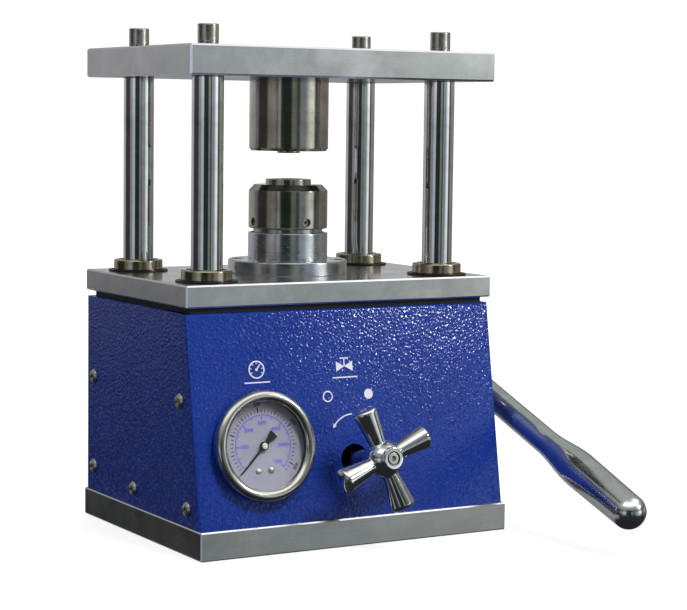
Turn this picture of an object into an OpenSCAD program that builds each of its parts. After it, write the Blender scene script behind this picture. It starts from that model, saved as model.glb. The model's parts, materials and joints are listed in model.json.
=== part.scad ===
// Hand-pumped bench press with a round die set. Millimetres, +Z up.
// The origin is on the ram axis, on the underside of the base plate; +X is the lever side, -Y the front.

/* [Base plate] */
// Width of the base plate
base_w = 224; // [222:1:240]
// Reach of the base plate in front of the ram axis
base_front = 98; // [97:1:110]
// Reach of the base plate behind the ram axis
base_back = 78; // [77:1:90]
// Thickness of the base plate
base_t = 18; // [16:1:20]

/* [Housing] */
// Outside width of the sheet housing
housing_w = 222.8; // [221:0.2:224]
// Distance from the ram axis to the back face of the housing
housing_back = 74; // [73:0.5:76]
// Distance from the ram axis to the foot of the sloping front panel
housing_foot = 94.6; // [92:0.2:96]
// Lean of the front panel from the vertical
panel_tilt = 9.26; // [8.5:0.01:9.5]
// Height of the top edge of the housing
housing_top = 148.7; // [147:0.1:149]
// Sheet thickness
sheet_t = 1.5; // [1:0.1:2]

/* [Frame] */
// Width of the table plate
table_w = 224; // [220:1:230]
// Depth of the table plate
table_d = 152; // [148:1:156]
// Height of the table plate's underside
table_low = 152.4; // [151:0.1:154]
// Thickness of the table plate
table_t = 14; // [12:1:16]
// Width of the top plate
top_w = 222; // [218:1:230]
// Depth of the top plate
top_d = 156; // [150:1:160]
// Height of the top plate's underside
top_low = 294; // [293.5:0.5:300]
// Thickness of the top plate
top_t = 19; // [16:1:22]
// Diameter of the columns above the table
column_d = 20; // [19:0.5:22]
// Half the spacing of the columns from side to side
column_x = 85.5; // [85:0.5:88]
// Half the spacing of the columns from front to back
column_y = 50.5; // [50:0.5:51]

/* [Ram and dies] */
// Diameter of the ram's guided length
ram_d = 46; // [44:0.5:46]
// Outside diameter of both dies
die_d = 52.4; // [50:0.1:54]
// Height of the lower die's upper face, without its core
lower_die_top = 225; // [224:0.5:226]
// Height of the upper die's lower face
upper_die_low = 247.1; // [247:0.1:250]
// Travel of the ram
stroke = 16.5; // [14:0.5:16.5]

/* [Lever] */
// Fore-and-aft place of the lever's cross shaft
shaft_y = 22; // [21.5:0.1:22.5]
// Height of the lever's cross shaft
shaft_z = 111.2; // [110.5:0.1:112]
// Distance from the ram axis to the plane that the lever swings in
lever_x = 128; // [126:0.5:130]
// Droop of the lever below the horizontal at its lower stop
lever_droop = 19.7; // [15:0.1:22]
// Distance from the cross shaft to the lever's tip
lever_reach = 254; // [230:1:260]

/* [Release valve and gauge] */
// Sideways place of the release valve
valve_x = 1.2; // [0:0.1:3]
// Distance of the valve axis up the front panel from its foot
valve_up = 36; // [35:0.1:37]
// Sideways place of the gauge
gauge_x = -64.7; // [-65:0.1:-64]
// Distance of the gauge axis up the front panel from its foot
gauge_up = 49.1; // [48.5:0.1:50]
// Outside diameter of the gauge bezel
bezel_d = 69; // [64:0.5:70]

/* [Hidden] */
$fn = 72;

fit = 0.05;            // radial clearance of a running fit
inside_x = housing_w / 2 - sheet_t;   // inner face of the side panels
strip_w = 7;           // width of the front cover's return beside each side panel
seam = 0.3;            // gap along the seam between front cover and side panel
table_top = table_low + table_t;
top_top = top_low + top_t;
side_screws = [[63.8, 95.3], [63.6, 34.8], [0.5, 29.5], [-66.6, 94.7], [-77.6, 29.2]];
rear_screw_x = 80;
rear_screw_z = 29.5;

block_x = 73.5;          // half width of the manifold block
block_front = -56;
block_back = 36;
block_top = 72;
block_screw_x = 40;
block_screw_front = -44;
block_screw_back = 28;
pedestal_x = 78;       // inner face of the cross shaft's pedestal
pedestal_w = 24;
pedestal_y = 28;       // depth of the pedestal from front to back

pump_x = 60;
pump_y = 1;
crank_r = 22;          // throw of the crank
crank_dip = 25;        // angle of the crank below the horizontal at rest
pin_y = shaft_y - crank_r * cos(crank_dip);
pin_z = shaft_z - crank_r * sin(crank_dip);
pin_r = 4;

ball_r = 4;
port_r = 2.5;          // radius of the ball seats and the upright drillings
cross_r = 2.2;         // radius of the level drillings
ball_rise = sqrt(ball_r * ball_r - port_r * port_r);   // ball centre above its seat's edge
inlet_seat = 33;
outlet_seat = 48;
outlet_y = -24;
gallery_y = -20;
gallery_z = 52.5;
return_z = 30;
supply_z = 26;

flange_top = 175.3;
collar_top = 193.3;
neck_top = 196;
core_top = lower_die_top + 3.6;
piston_low = block_top + 2;
piston_top = piston_low + 18;
bore_r = 27;           // bore of the main cylinder
spigot_low = 140;      // lower end of the gland flange's spigot

valve_seat_in = 64;    // depth of the ball seat behind the front panel's outer face
valve_ball_in = valve_seat_in - ball_rise;

case_depth = 19.5;     // depth of the gauge case behind the front panel's outer face
pinion_teeth = 12;
sector_teeth = 72;     // teeth that the sector would have as a full wheel
tooth_module = 0.4;
pinion_pitch_r = pinion_teeth * tooth_module / 2;
sector_pitch_r = sector_teeth * tooth_module / 2;
gear_centres = pinion_pitch_r + sector_pitch_r;
sector_rest = -22.5;   // lean of the sector's middle tooth at zero pressure

function front_y(z) = -housing_foot + (z - base_t) * tan(panel_tilt);
function arc(cx, cy, r, a0, a1, n) = [for (i = [0:n]) let(a = a0 + (a1 - a0) * i / n) [cx + r * cos(a), cy + r * sin(a)]];

// Places its children on the front panel: X across, Y up the panel, Z straight out of it
module on_panel(x, up) {
    translate([0, -housing_foot, base_t]) rotate([90 - panel_tilt, 0, 0]) translate([x, up, 0]) children();
}

// Places its children on the lever's line: Z runs from the cross shaft towards the lever's tip
module on_lever() {
    translate([lever_x, shaft_y, shaft_z]) rotate([90 + lever_droop, 0, 0]) children();
}

// Extrudes a Y-Z outline along X
module yz_extrude(x0, x1) {
    translate([x0, 0, 0]) rotate([90, 0, 90]) linear_extrude(x1 - x0) children();
}

module at_columns() {
    for (sx = [-1, 1], sy = [-1, 1]) translate([sx * column_x, sy * column_y, 0]) children();
}

module at_block_screws() {
    for (sx = [-1, 1], y = [block_screw_front, block_screw_back]) translate([sx * block_screw_x, y, 0]) children();
}

module at_pedestal_screws() {
    for (dy = [-8, 8]) translate([pedestal_x + pedestal_w / 2, shaft_y + dy, 0]) children();
}

module bevelled_rect(lo, hi, c) {
    polygon([[lo.x + c, lo.y], [hi.x - c, lo.y], [hi.x, lo.y + c], [hi.x, hi.y - c],
             [hi.x - c, hi.y], [lo.x + c, hi.y], [lo.x, hi.y - c], [lo.x, lo.y + c]]);
}

// A rectangular block with every edge bevelled
module bevelled_block(lo, hi, c) {
    intersection() {
        translate([0, 0, lo.z]) linear_extrude(hi.z - lo.z) bevelled_rect([lo.x, lo.y], [hi.x, hi.y], c);
        translate([0, hi.y, 0]) rotate([90, 0, 0]) linear_extrude(hi.y - lo.y)
            bevelled_rect([lo.x, lo.z], [hi.x, hi.z], c);
        yz_extrude(lo.x, hi.x) bevelled_rect([lo.y, lo.z], [hi.y, hi.z], c);
    }
}

// A ring with bevelled outer edges, standing on z = 0
module ring(r_in, r_out, h, c = 0.4) {
    rotate_extrude() polygon([[r_in, 0], [r_out - c, 0], [r_out, c], [r_out, h - c], [r_out - c, h], [r_in, h]]);
}

// A bevelled disc standing on z = 0
module disc(r, h, c = 0.4) {
    rotate_extrude() polygon([[0, 0], [r - c, 0], [r, c], [r, h - c], [r - c, h], [0, h]]);
}

module hex_bar(across_flats, h) {
    cylinder(r = across_flats / 2 / cos(30), h = h, $fn = 6);
}

// A socket-head screw: the underside of its head is at z = 0 and its shank points down
module socket_screw(head_r, head_h, shank_r, length, across_flats) {
    difference() {
        union() {
            disc(head_r, head_h, 0.5);
            translate([0, 0, -length]) cylinder(r = shank_r, h = length + 1);
        }
        translate([0, 0, head_h * 0.45]) hex_bar(across_flats, head_h);
    }
}

// A closed-wire coil standing on z = 0
module coil(r, wire_r, h, turns) {
    sides = 8;
    steps = 16 * turns;
    rise = (h - 2 * wire_r) / steps;
    points = [for (i = [0:steps], k = [0:sides - 1])
        let(a = 360 * turns * i / steps, b = 360 * k / sides, d = r + wire_r * cos(b))
        [d * cos(a), d * sin(a), wire_r + rise * i + wire_r * sin(b)]];
    wall = [for (i = [0:steps - 1], k = [0:sides - 1])
        let(n = (k + 1) % sides, p = i * sides, q = (i + 1) * sides) [p + k, p + n, q + n, q + k]];
    start_cap = [for (k = [sides - 1:-1:0]) k];
    end_cap = [for (k = [0:sides - 1]) steps * sides + k];
    polyhedron(points, concat([start_cap], wall, [end_cap]));
}

// A gear outline with trapezoidal teeth; the first tooth points along +X
module gear_outline(teeth, first, last) {
    pitch_r = teeth * tooth_module / 2;
    root_r = pitch_r - 1.25 * tooth_module;
    tip_r = pitch_r + 0.85 * tooth_module;
    step = 360 / teeth;
    polygon(concat(
        last - first + 1 < teeth ? [[0, 0]] : [],
        [for (i = [first:last], k = [0:3])
            let(a = i * step + [-0.30, -0.12, 0.12, 0.30][k] * step, r = [root_r, tip_r, tip_r, root_r][k])
            [r * cos(a), r * sin(a)]]));
}

module base_plate() {
    color("gainsboro") difference() {
        bevelled_block([-base_w / 2, -base_front, 0], [base_w / 2, base_back, base_t], 0.8);
        at_columns() base_screw_hole();
        at_block_screws() base_screw_hole();
        at_pedestal_screws() base_screw_hole();
    }
}

module base_screw_hole() {
    translate([0, 0, -1]) cylinder(r = 4.3, h = base_t + 2);
    translate([0, 0, -1]) cylinder(r = 7, h = 10.5);
}

module base_screws() {
    color("dimgray") {
        at_columns() base_screw();
        at_block_screws() base_screw();
        at_pedestal_screws() base_screw();
    }
}

module base_screw() {
    translate([0, 0, 9.5]) rotate([180, 0, 0]) socket_screw(6.5, 8, 3.95, 22, 6);
}

module base_brackets() {
    color("silver") {
        for (sx = [-1, 1]) scale_x(sx) bracket(inside_x - 0.1, -12, 7, side_screws[2][0], 16);
        for (sx = [-1, 1]) translate([sx * rear_screw_x, 0, 0]) rotate([0, 0, 90])
            bracket(housing_back - sheet_t - 0.1, -9, 9, 0, 8);
    }
}

// Mirrors its children to the -X side when side is -1
module scale_x(side) {
    mirror([side < 0 ? 1 : 0, 0, 0]) children();
}

// An angle bracket whose upright face is at x, with a hole at hole_y for a panel screw
module bracket(x, y0, y1, hole_y, foot) {
    difference() {
        union() {
            translate([x - sheet_t, y0, base_t]) cube([sheet_t, y1 - y0, 20]);
            translate([x - foot, y0, base_t]) cube([foot, y1 - y0, sheet_t]);
        }
        translate([x - 5, hole_y, rear_screw_z]) rotate([0, 90, 0]) cylinder(r = 2.5, h = 10);
    }
}

module front_cover() {
    w = sheet_t / cos(panel_tilt);
    color("royalblue") difference() {
        union() {
            yz_extrude(-housing_w / 2, housing_w / 2) lean_strip(0, w);
            for (sx = [-1, 1]) scale_x(sx) {
                yz_extrude(inside_x, housing_w / 2) lean_strip(0, strip_w);
                yz_extrude(inside_x - sheet_t, inside_x) lean_strip(w / 2, 26);
            }
            translate([-inside_x + 0.5, front_y(housing_top) + w / 2, housing_top - sheet_t])
                cube([2 * inside_x - 1, 7, sheet_t]);
        }
        on_panel(gauge_x, gauge_up) translate([0, 0, -5]) cylinder(r = 32, h = 10);
        on_panel(valve_x, valve_up) translate([0, 0, -5]) cylinder(r = 10, h = 10);
        side_screw_holes();
    }
}

// A strip of the Y-Z plane that follows the sloping front, from d0 to d1 behind it
module lean_strip(d0, d1) {
    polygon([[front_y(base_t) + d0, base_t], [front_y(base_t) + d1, base_t],
             [front_y(housing_top) + d1, housing_top], [front_y(housing_top) + d0, housing_top]]);
}

module side_screw_holes() {
    for (sx = [-1, 1], p = side_screws) translate([sx * (inside_x - 6), p[0], p[1]])
        rotate([0, sx * 90, 0]) cylinder(r = 2.5, h = 12);
}

module side_panel() {
    difference() {
        union() {
            yz_extrude(inside_x, housing_w / 2)
                polygon([[front_y(base_t) + strip_w + seam, base_t], [housing_back, base_t],
                         [housing_back, housing_top], [front_y(housing_top) + strip_w + seam, housing_top]]);
            translate([inside_x - 8, -46, housing_top - sheet_t]) cube([8.5, 116, sheet_t]);
        }
        side_screw_holes();
    }
}

module left_side_panel() {
    color("mediumblue") scale_x(-1) side_panel();
}

module right_side_panel() {
    color("mediumblue") difference() {
        side_panel();
        translate([inside_x - 5, shaft_y, shaft_z]) rotate([0, 90, 0]) cylinder(r = 10, h = 10);
    }
}

module rear_panel() {
    flange_x = inside_x - 0.1;
    inner_y = housing_back - sheet_t;
    color("mediumblue") difference() {
        union() {
            translate([-flange_x, inner_y, base_t]) cube([2 * flange_x, sheet_t, housing_top - base_t]);
            for (sx = [-1, 1]) scale_x(sx)
                translate([flange_x - sheet_t, inner_y - 19, base_t]) cube([sheet_t, 19.5, housing_top - base_t - 2]);
        }
        side_screw_holes();
        for (sx = [-1, 1]) translate([sx * rear_screw_x, inner_y - 5, rear_screw_z]) rotate([-90, 0, 0])
            cylinder(r = 2.5, h = 10);
        translate([0, inner_y - 5, 84]) rotate([-90, 0, 0]) cylinder(r = 11, h = 10);
    }
}

module panel_screws() {
    color("slategray") {
        for (sx = [-1, 1], p = side_screws) translate([sx * housing_w / 2, p[0], p[1]])
            rotate([0, sx * 90, 0]) panel_screw();
        for (sx = [-1, 1]) translate([sx * rear_screw_x, housing_back, rear_screw_z]) rotate([-90, 0, 0])
            panel_screw();
    }
}

// A domed cross-recessed screw seated on z = 0
module panel_screw() {
    dome_r = 5.9;
    drop = sqrt(dome_r * dome_r - 4.75 * 4.75);
    difference() {
        union() {
            rotate_extrude() polygon(concat([[0, 0], [4.75, 0]], arc(0, -drop + 0.5, dome_r, acos(4.75 / dome_r), 90, 8)));
            translate([0, 0, -6]) cylinder(r = 2.45, h = 6.5);
        }
        for (a = [0, 90]) rotate([0, 0, a]) translate([-2.4, -0.5, 1.2]) cube([4.8, 1, 3]);
    }
}

module table_gasket() {
    color("black") difference() {
        translate([-107, -71, housing_top]) cube([214, 142, table_low - housing_top]);
        translate([-101.7, -66.7, housing_top - 1]) cube([203.4, 133.4, 8]);
    }
}

module table_plate() {
    color("silver") difference() {
        bevelled_block([-table_w / 2, -table_d / 2, table_low], [table_w / 2, table_d / 2, table_top], 1);
        at_columns() translate([0, 0, table_low - 1]) cylinder(d = column_d + 0.2, h = table_t + 2);
        translate([0, 0, table_low - 1]) cylinder(r = bore_r + 0.1, h = table_t + 2);
        at_gland_screws() translate([0, 0, -18]) cylinder(r = 2.5, h = 18);
    }
}

module columns() {
    color("silver") at_columns() difference() {
        union() {
            translate([0, 0, base_t]) cylinder(r = 11.5, h = table_low - base_t);
            translate([0, 0, table_low - 1]) cylinder(d = column_d, h = top_low - table_low + 1);
        }
        translate([0, 0, base_t - 1]) cylinder(r = 4, h = 26);
        translate([0, 0, top_low - 25]) cylinder(r = 4, h = 26);
    }
}

module column_washers() {
    color("dimgray") at_columns() translate([0, 0, table_top]) ring(column_d / 2 + 0.1, 19.6, 1, 0.3);
}

// Round nuts with a shallow recess around the column
module column_ring_nuts() {
    nut_h = 6.6;
    color("tan") at_columns() translate([0, 0, table_top + 1]) difference() {
        ring(column_d / 2 + 0.02, 16.1, nut_h, 0.9);
        translate([0, 0, nut_h - 1.6]) cylinder(r = 13.2, h = 3);
    }
}

module top_plate() {
    color("silver") difference() {
        bevelled_block([-top_w / 2, -top_d / 2, top_low], [top_w / 2, top_d / 2, top_top], 1.2);
        at_columns() translate([0, 0, top_low - 1]) cylinder(r = 4.3, h = top_t + 2);
        translate([0, 0, top_low - 1]) cylinder(r = 4.3, h = top_t + 2);
        translate([0, 0, top_top - 9]) cylinder(r = 7, h = 10);
    }
}

module cap_screws() {
    color("gray") at_columns() translate([0, 0, top_top + 2.6]) socket_screw(6.65, 10.6, 3.95, 40, 6);
}

module spring_washers() {
    color("gray") at_columns() translate([0, 0, top_top]) difference() {
        ring(4.2, 6.6, 2.6, 0.3);
        rotate([0, 0, 200]) translate([3, -0.5, -1]) rotate([0, 0, 12]) cube([6, 1, 5]);
    }
}

module upper_die() {
    h = top_low - upper_die_low;
    color("silver") translate([0, 0, upper_die_low]) difference() {
        rotate_extrude() polygon([[0, 0], [die_d / 2 - 1.8, 0], [die_d / 2, 1.8], [die_d / 2, h], [0, h]]);
        translate([0, 0, -1]) cylinder(r = 7.6 + fit, h = 16);
        cylinder(r = 6.4, h = 23);
        translate([0, 0, h - 16]) cylinder(r = 4, h = 17);
    }
}

module upper_die_bolt() {
    color("dimgray") translate([0, 0, top_top - 9]) socket_screw(6.5, 8, 3.95, 22, 6);
}

module ejector_pin() {
    color("silver") translate([0, 0, upper_die_low - 1.5]) union() {
        disc(7.6, 14.5, 0.5);
        translate([0, 0, 14]) cylinder(r = 3.6, h = 5);
    }
}

module ejector_spring() {
    color("dimgray") translate([0, 0, upper_die_low + 13.05]) coil(5.1, 0.6, 9.9, 5);
}

module gland_flange() {
    color("lightsteelblue") difference() {
        union() {
            translate([0, 0, table_top]) ring(ram_d / 2, 39.6, flange_top - table_top, 1.0);
            translate([0, 0, spigot_low]) cylinder(r = bore_r - 0.02, h = table_top - spigot_low + 1);
        }
        translate([0, 0, spigot_low - 1]) cylinder(r = ram_d / 2 + fit, h = 50);
        translate([0, 0, flange_top - 3]) cylinder(r = 26.45, h = 10);
        at_gland_screws() {
            translate([0, 0, -30]) cylinder(r = 2.7, h = 40);
            translate([0, 0, -2.9]) cylinder(r1 = 2.7, r2 = 5.2, h = 3);
        }
    }
}

module at_gland_screws() {
    for (i = [0:5]) rotate([0, 0, 60 * i + 30]) translate([33.5, 0, flange_top]) children();
}

// Countersunk screws; each head is flush with the flange
module gland_screws() {
    color("dimgray") at_gland_screws() difference() {
        union() {
            translate([0, 0, -2.8]) cylinder(r1 = 2.45, r2 = 4.85, h = 2.5);
            translate([0, 0, -17]) cylinder(r = 2.45, h = 15);
        }
        translate([0, 0, -2.2]) hex_bar(3, 3);
    }
}

module guide_collar() {
    color("lightsteelblue") translate([0, 0, flange_top - 3]) difference() {
        ring(ram_d / 2 + fit, 26.4, collar_top - flange_top + 3, 0.7);
        translate([0, 0, collar_top - flange_top]) cylinder(r = 24.6, h = 4);
    }
}

module wiper_seal() {
    color("black") translate([0, 0, collar_top - 3]) ring(ram_d / 2 + fit, 24.55, 2.7, 0.3);
}

module cylinder_barrel() {
    color("dimgray") translate([0, 0, block_top - 4]) ring(bore_r, 35, spigot_low + 10 - block_top + 4, 0.8);
}

// Piston, slim rod, guided length and the spigot that carries the lower die
module ram() {
    color("silver") difference() {
        union() {
            translate([0, 0, piston_low]) cylinder(r = bore_r - fit, h = piston_top - piston_low);
            translate([0, 0, piston_top - 1]) cylinder(r = 16, h = 66);
            translate([0, 0, 150]) cylinder(d = ram_d, h = neck_top - 150);
            translate([0, 0, neck_top - 1]) disc(15, 11.5, 1);
        }
        translate([0, 0, piston_low + 6]) ring(23.5, bore_r + 1, 6, 0);
    }
}

module piston_seal() {
    color("black") translate([0, 0, piston_low + 6.02]) ring(23.55, bore_r - fit, 5.96, 0.5);
}

module return_spring() {
    color("dimgray") translate([0, 0, piston_top + 0.05]) coil(23.9, 1.8, spigot_low - piston_top - 0.1, 5);
}

module lower_die() {
    h = lower_die_top - neck_top;
    r = die_d / 2;
    color("silver") translate([0, 0, neck_top]) difference() {
        rotate_extrude() polygon([[0, 0], [r - 0.8, 0], [r, 0.8], [r, h - 4], [r - 3.7, h], [0, h]]);
        translate([0, 0, -1]) cylinder(r = 15.03, h = 12);
        translate([0, 0, h - 12]) cylinder(r = 15.13, h = 13);
        at_die_set_screws() cylinder(r = 2.65, h = 20);
    }
}

// Radial places of the set screws, measured from the lower die's foot; Z points outwards
module at_die_set_screws() {
    for (a = [0:90:270]) rotate([0, 0, a]) translate([12, 0, 4.6]) rotate([0, 90, 0]) children();
}

// The removable core, with a shallow round pocket for the work
module die_core() {
    color("silver") translate([0, 0, lower_die_top - 12]) difference() {
        disc(15.1, core_top - lower_die_top + 12, 0.6);
        translate([0, 0, core_top - lower_die_top + 12 - 2.4]) cylinder(r = 10.1, h = 3);
    }
}

module die_set_screws() {
    color("dimgray") translate([0, 0, neck_top]) at_die_set_screws() translate([0, 0, 3.05]) difference() {
        cylinder(r = 2.6, h = 9);
        translate([0, 0, 6]) hex_bar(2.5, 4);
    }
}

// The block that the cylinder, the pump, the release valve and the gauge screw into
module manifold_block() {
    color("slategray") difference() {
        bevelled_block([-block_x, block_front, base_t], [block_x, block_back, block_top], 1);
        at_block_screws() translate([0, 0, base_t - 1]) cylinder(r = 4, h = 18);
        translate([0, 0, block_top - 4]) cylinder(r = 35.02, h = 5);
        translate([pump_x, pump_y, 42]) cylinder(r = 13.02, h = 40);
        translate([pump_x, pump_y, inlet_seat]) cylinder(r = 4.6, h = 12);
        translate([pump_x, pump_y, supply_z]) cylinder(r = port_r, h = 12);
        translate([pump_x, pump_y - 1, supply_z + 1]) rotate([-90, 0, 0]) cylinder(r = cross_r, h = 40);
        translate([pump_x, outlet_y, outlet_seat - 9]) rotate([-90, 0, 0]) cylinder(r = 1.8, h = pump_y - outlet_y);
        translate([pump_x, outlet_y, outlet_seat - 12]) cylinder(r = port_r, h = 16);
        translate([pump_x, outlet_y, outlet_seat]) cylinder(r = 4.6, h = 16);
        translate([pump_x, outlet_y, block_top - 9]) cylinder(r = 7.02, h = 10);
        translate([gauge_x - 4, gallery_y, gallery_z]) rotate([0, 90, 0]) cylinder(r = cross_r, h = pump_x - gauge_x);
        translate([valve_x, gallery_y, 42]) cylinder(r = 3, h = block_top - 42);
        translate([valve_x, -31.5, return_z]) cylinder(r = port_r, h = 14);
        translate([valve_x, -32.5, return_z + 1]) rotate([-90, 0, 0]) cylinder(r = cross_r, h = 80);
        valve_cavity();
        gauge_socket_cavity();
    }
}

module valve_cavity() {
    on_panel(valve_x, valve_up) {
        translate([0, 0, -36]) cylinder(r = 13, h = 30);
        translate([0, 0, -46]) cylinder(r = 8.02, h = 20);
        translate([0, 0, -54]) cylinder(r = 6 + fit, h = 20);
        translate([0, 0, -valve_seat_in]) cylinder(r = 4.3, h = 20);
        translate([0, 0, -valve_seat_in - 8]) cylinder(r = port_r, h = 20);
    }
}

module gauge_socket_cavity() {
    on_panel(gauge_x, gauge_up) {
        translate([0, 0, -52]) cylinder(r = 6.52, h = 25);
        translate([0, 0, -68]) cylinder(r = 2, h = 30);
    }
}

module oil_tank() {
    color("silver") difference() {
        union() {
            tank_shape(0);
            translate([0, 66, 84]) rotate([-90, 0, 0]) cylinder(r = 10, h = 6);
        }
        tank_shape(1.5);
        translate([0, 60, 84]) rotate([-90, 0, 0]) cylinder(r = 8.05, h = 14);
        translate([valve_x, 30, return_z + 1]) rotate([-90, 0, 0]) cylinder(r = cross_r, h = 14);
        translate([pump_x, 30, supply_z + 1]) rotate([-90, 0, 0]) cylinder(r = cross_r, h = 14);
    }
}

module tank_shape(inset) {
    lo = [-68 + inset, block_back + inset, base_t + inset];
    hi = [68 - inset, 70 - inset, 104 - inset];
    bevelled_block(lo, hi, 4);
}

module filler_plug() {
    color("black") translate([0, 63, 84]) rotate([-90, 0, 0]) difference() {
        union() {
            cylinder(r = 8, h = 12);
            translate([0, 0, 11.2]) disc(12, 2.8, 0.6);
        }
        translate([0, 0, 12.2]) hex_bar(8, 3);
    }
}

module pump_barrel() {
    color("silver") translate([pump_x, pump_y, 42]) difference() {
        disc(13, 42, 0.8);
        translate([0, 0, 4]) cylinder(r = 6 + fit, h = 40);
        translate([0, 0, -1]) cylinder(r = 3, h = 6);
        translate([0, 0, 34]) cylinder(r = 9.02, h = 10);
    }
}

module pump_gland_nut() {
    color("tan") translate([pump_x, pump_y, 76.2]) difference() {
        union() {
            cylinder(r = 9, h = 8.3);
            translate([0, 0, 8]) hex_bar(24, 5.5);
        }
        translate([0, 0, -1]) cylinder(r = 6 + fit, h = 20);
    }
}

// Plunger with a slotted head; the crank pin works in the slot
module pump_plunger() {
    color("silver") translate([pump_x, pump_y, pin_z]) difference() {
        union() {
            bevelled_block([-6, -12, -11.2], [6, 12, 11], 1);
            translate([0, 0, 52 - pin_z]) cylinder(r = 6, h = pin_z - 52);
        }
        for (s = [-1, 1]) translate([-10, s * 1.5, 0]) rotate([0, 90, 0]) cylinder(r = pin_r + 0.25, h = 20);
        translate([-10, -1.5, -pin_r - 0.25]) cube([20, 3, 2 * pin_r + 0.5]);
    }
}

module inlet_check_ball() {
    color("gainsboro") translate([pump_x, pump_y, inlet_seat + ball_rise + 0.05]) sphere(ball_r);
}

module outlet_check_ball() {
    color("gainsboro") translate([pump_x, outlet_y, outlet_seat + ball_rise + 0.05]) sphere(ball_r);
}

module outlet_check_plug() {
    nose = outlet_seat + ball_rise + ball_r + 1.9;
    color("tan") translate([pump_x, outlet_y, 0]) union() {
        translate([0, 0, nose]) cylinder(r = 3, h = block_top - nose);
        translate([0, 0, block_top - 8.5]) cylinder(r = 7, h = 9);
        translate([0, 0, block_top]) hex_bar(17, 6);
    }
}

module shaft_pedestal() {
    color("slategray") difference() {
        union() {
            bevelled_block([pedestal_x, shaft_y - pedestal_y / 2, base_t],
                           [pedestal_x + pedestal_w, shaft_y + pedestal_y / 2, shaft_z], 1);
            translate([pedestal_x, shaft_y, shaft_z]) rotate([0, 90, 0]) cylinder(d = pedestal_y - 2, h = pedestal_w);
        }
        translate([pedestal_x - 1, shaft_y, shaft_z]) rotate([0, 90, 0]) cylinder(r = 9.5, h = pedestal_w + 2);
        at_pedestal_screws() translate([0, 0, base_t - 1]) cylinder(r = 4, h = 18);
    }
}

module shaft_bushes() {
    color("goldenrod") for (x = [pedestal_x, pedestal_x + pedestal_w - 9]) translate([x, shaft_y, shaft_z])
        rotate([0, 90, 0]) ring(7 + fit, 9.48, 9, 0.3);
}

module cross_shaft() {
    x0 = 67;
    x1 = lever_x + 10;
    color("silver") translate([x0, shaft_y, shaft_z]) rotate([0, 90, 0]) difference() {
        disc(7, x1 - x0, 0.8);
        translate([0, 0, x1 - x0 - 16]) cylinder(r = 3, h = 17);
    }
}

// Crank arm with its pin; the arm is clamped on the inner end of the cross shaft
module crank_arm() {
    arm_x = pump_x + 7.5;
    arm_t = 9.6;
    color("slategray") union() {
        yz_extrude(arm_x, arm_x + arm_t) translate([shaft_y, shaft_z]) rotate(crank_dip) difference() {
            union() {
                circle(r = 12);
                translate([-crank_r, 0]) circle(r = 8);
                translate([-crank_r, -7]) square([crank_r, 14]);
            }
            circle(r = 7.02);
        }
        translate([pump_x - 8, pin_y, pin_z]) rotate([0, 90, 0]) cylinder(r = pin_r, h = 17);
    }
}

module lever_hub() {
    color("silver") difference() {
        translate([lever_x - 13.5, shaft_y, shaft_z]) rotate([0, 90, 0]) disc(15, 24, 1);
        translate([lever_x - 20, shaft_y, shaft_z]) rotate([0, 90, 0]) cylinder(r = 7.02, h = 40);
        on_lever() translate([0, 0, 14]) cylinder(r = 10, h = 10);
        on_lever() cylinder(r = 5.02, h = 20);
    }
}

// Cap screw that holds the hub on the shaft end
module hub_screw() {
    color("gray") translate([lever_x + 10.55, shaft_y, shaft_z]) rotate([0, 90, 0]) union() {
        disc(9.5, 1.6, 0.3);
        translate([0, 0, 1.5]) socket_screw(5, 6, 2.95, 14, 5);
    }
}

// Round rod that swells smoothly into a tapered grip with a ball end
module lever() {
    rod_r = 8.6;
    grip_r = 12.1;
    tip_r = 11.2;
    flare0 = 150;
    flare1 = 190;
    steps = 14;
    flare = [for (i = [0:steps]) let(t = i / steps)
        [rod_r + (grip_r - rod_r) * (1 - cos(180 * t)) / 2, flare0 + (flare1 - flare0) * t]];
    tip = arc(0, lever_reach - tip_r, tip_r, 0, 90, 12);
    color("silver") on_lever() union() {
        rotate_extrude() polygon(concat([[0, 14], [rod_r - 1, 14], [rod_r, 15]], flare, tip));
        translate([0, 0, 7.5]) cylinder(r = 5, h = 8);
    }
}

module valve_ball() {
    color("gainsboro") on_panel(valve_x, valve_up) translate([0, 0, -valve_ball_in + 0.05]) sphere(ball_r);
}

// Threaded stem, with a nose behind the ball and a journal under the handle
module valve_spindle() {
    nose_in = valve_ball_in - ball_r - 0.1;
    color("silver") on_panel(valve_x, valve_up) union() {
        translate([0, 0, -nose_in]) cylinder(r = 3.8, h = 4);
        translate([0, 0, -nose_in + 3]) cylinder(r = 6, h = nose_in + 18.9);
        translate([0, 0, 21]) cylinder(r = 4.98, h = 14);
    }
}

module valve_gland_nut() {
    color("tan") on_panel(valve_x, valve_up) translate([0, 0, -45.8]) difference() {
        union() {
            cylinder(r = 8, h = 10.3);
            translate([0, 0, 9.9]) hex_bar(20, 8);
        }
        translate([0, 0, -1]) cylinder(r = 6 + fit, h = 30);
    }
}

// Hub with four tapered spokes; the spokes' ends are domed
module cross_handle() {
    spoke_out = 35.5;
    spoke_turn = 21.5;
    hub_r = 11.5;
    disc_out = 47.3;
    color("silver") on_panel(valve_x, valve_up) difference() {
        union() {
            translate([0, 0, spoke_out]) sphere(hub_r);
            translate([0, 0, spoke_out]) cylinder(r = 6.85, h = disc_out - spoke_out);
            translate([0, 0, 22]) cylinder(r1 = 8, r2 = 9, h = 8);
            for (a = [0:90:270]) translate([0, 0, spoke_out]) rotate([0, 0, spoke_turn + a]) rotate([0, 90, 0]) spoke();
        }
        translate([0, 0, 18]) cylinder(r = 5, h = 17.1);
        translate([0, 0, 30]) cylinder(r = 2.6, h = 20);
        translate([0, 0, disc_out - 4]) cylinder(r = 4.6, h = 6);
    }
}

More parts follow.
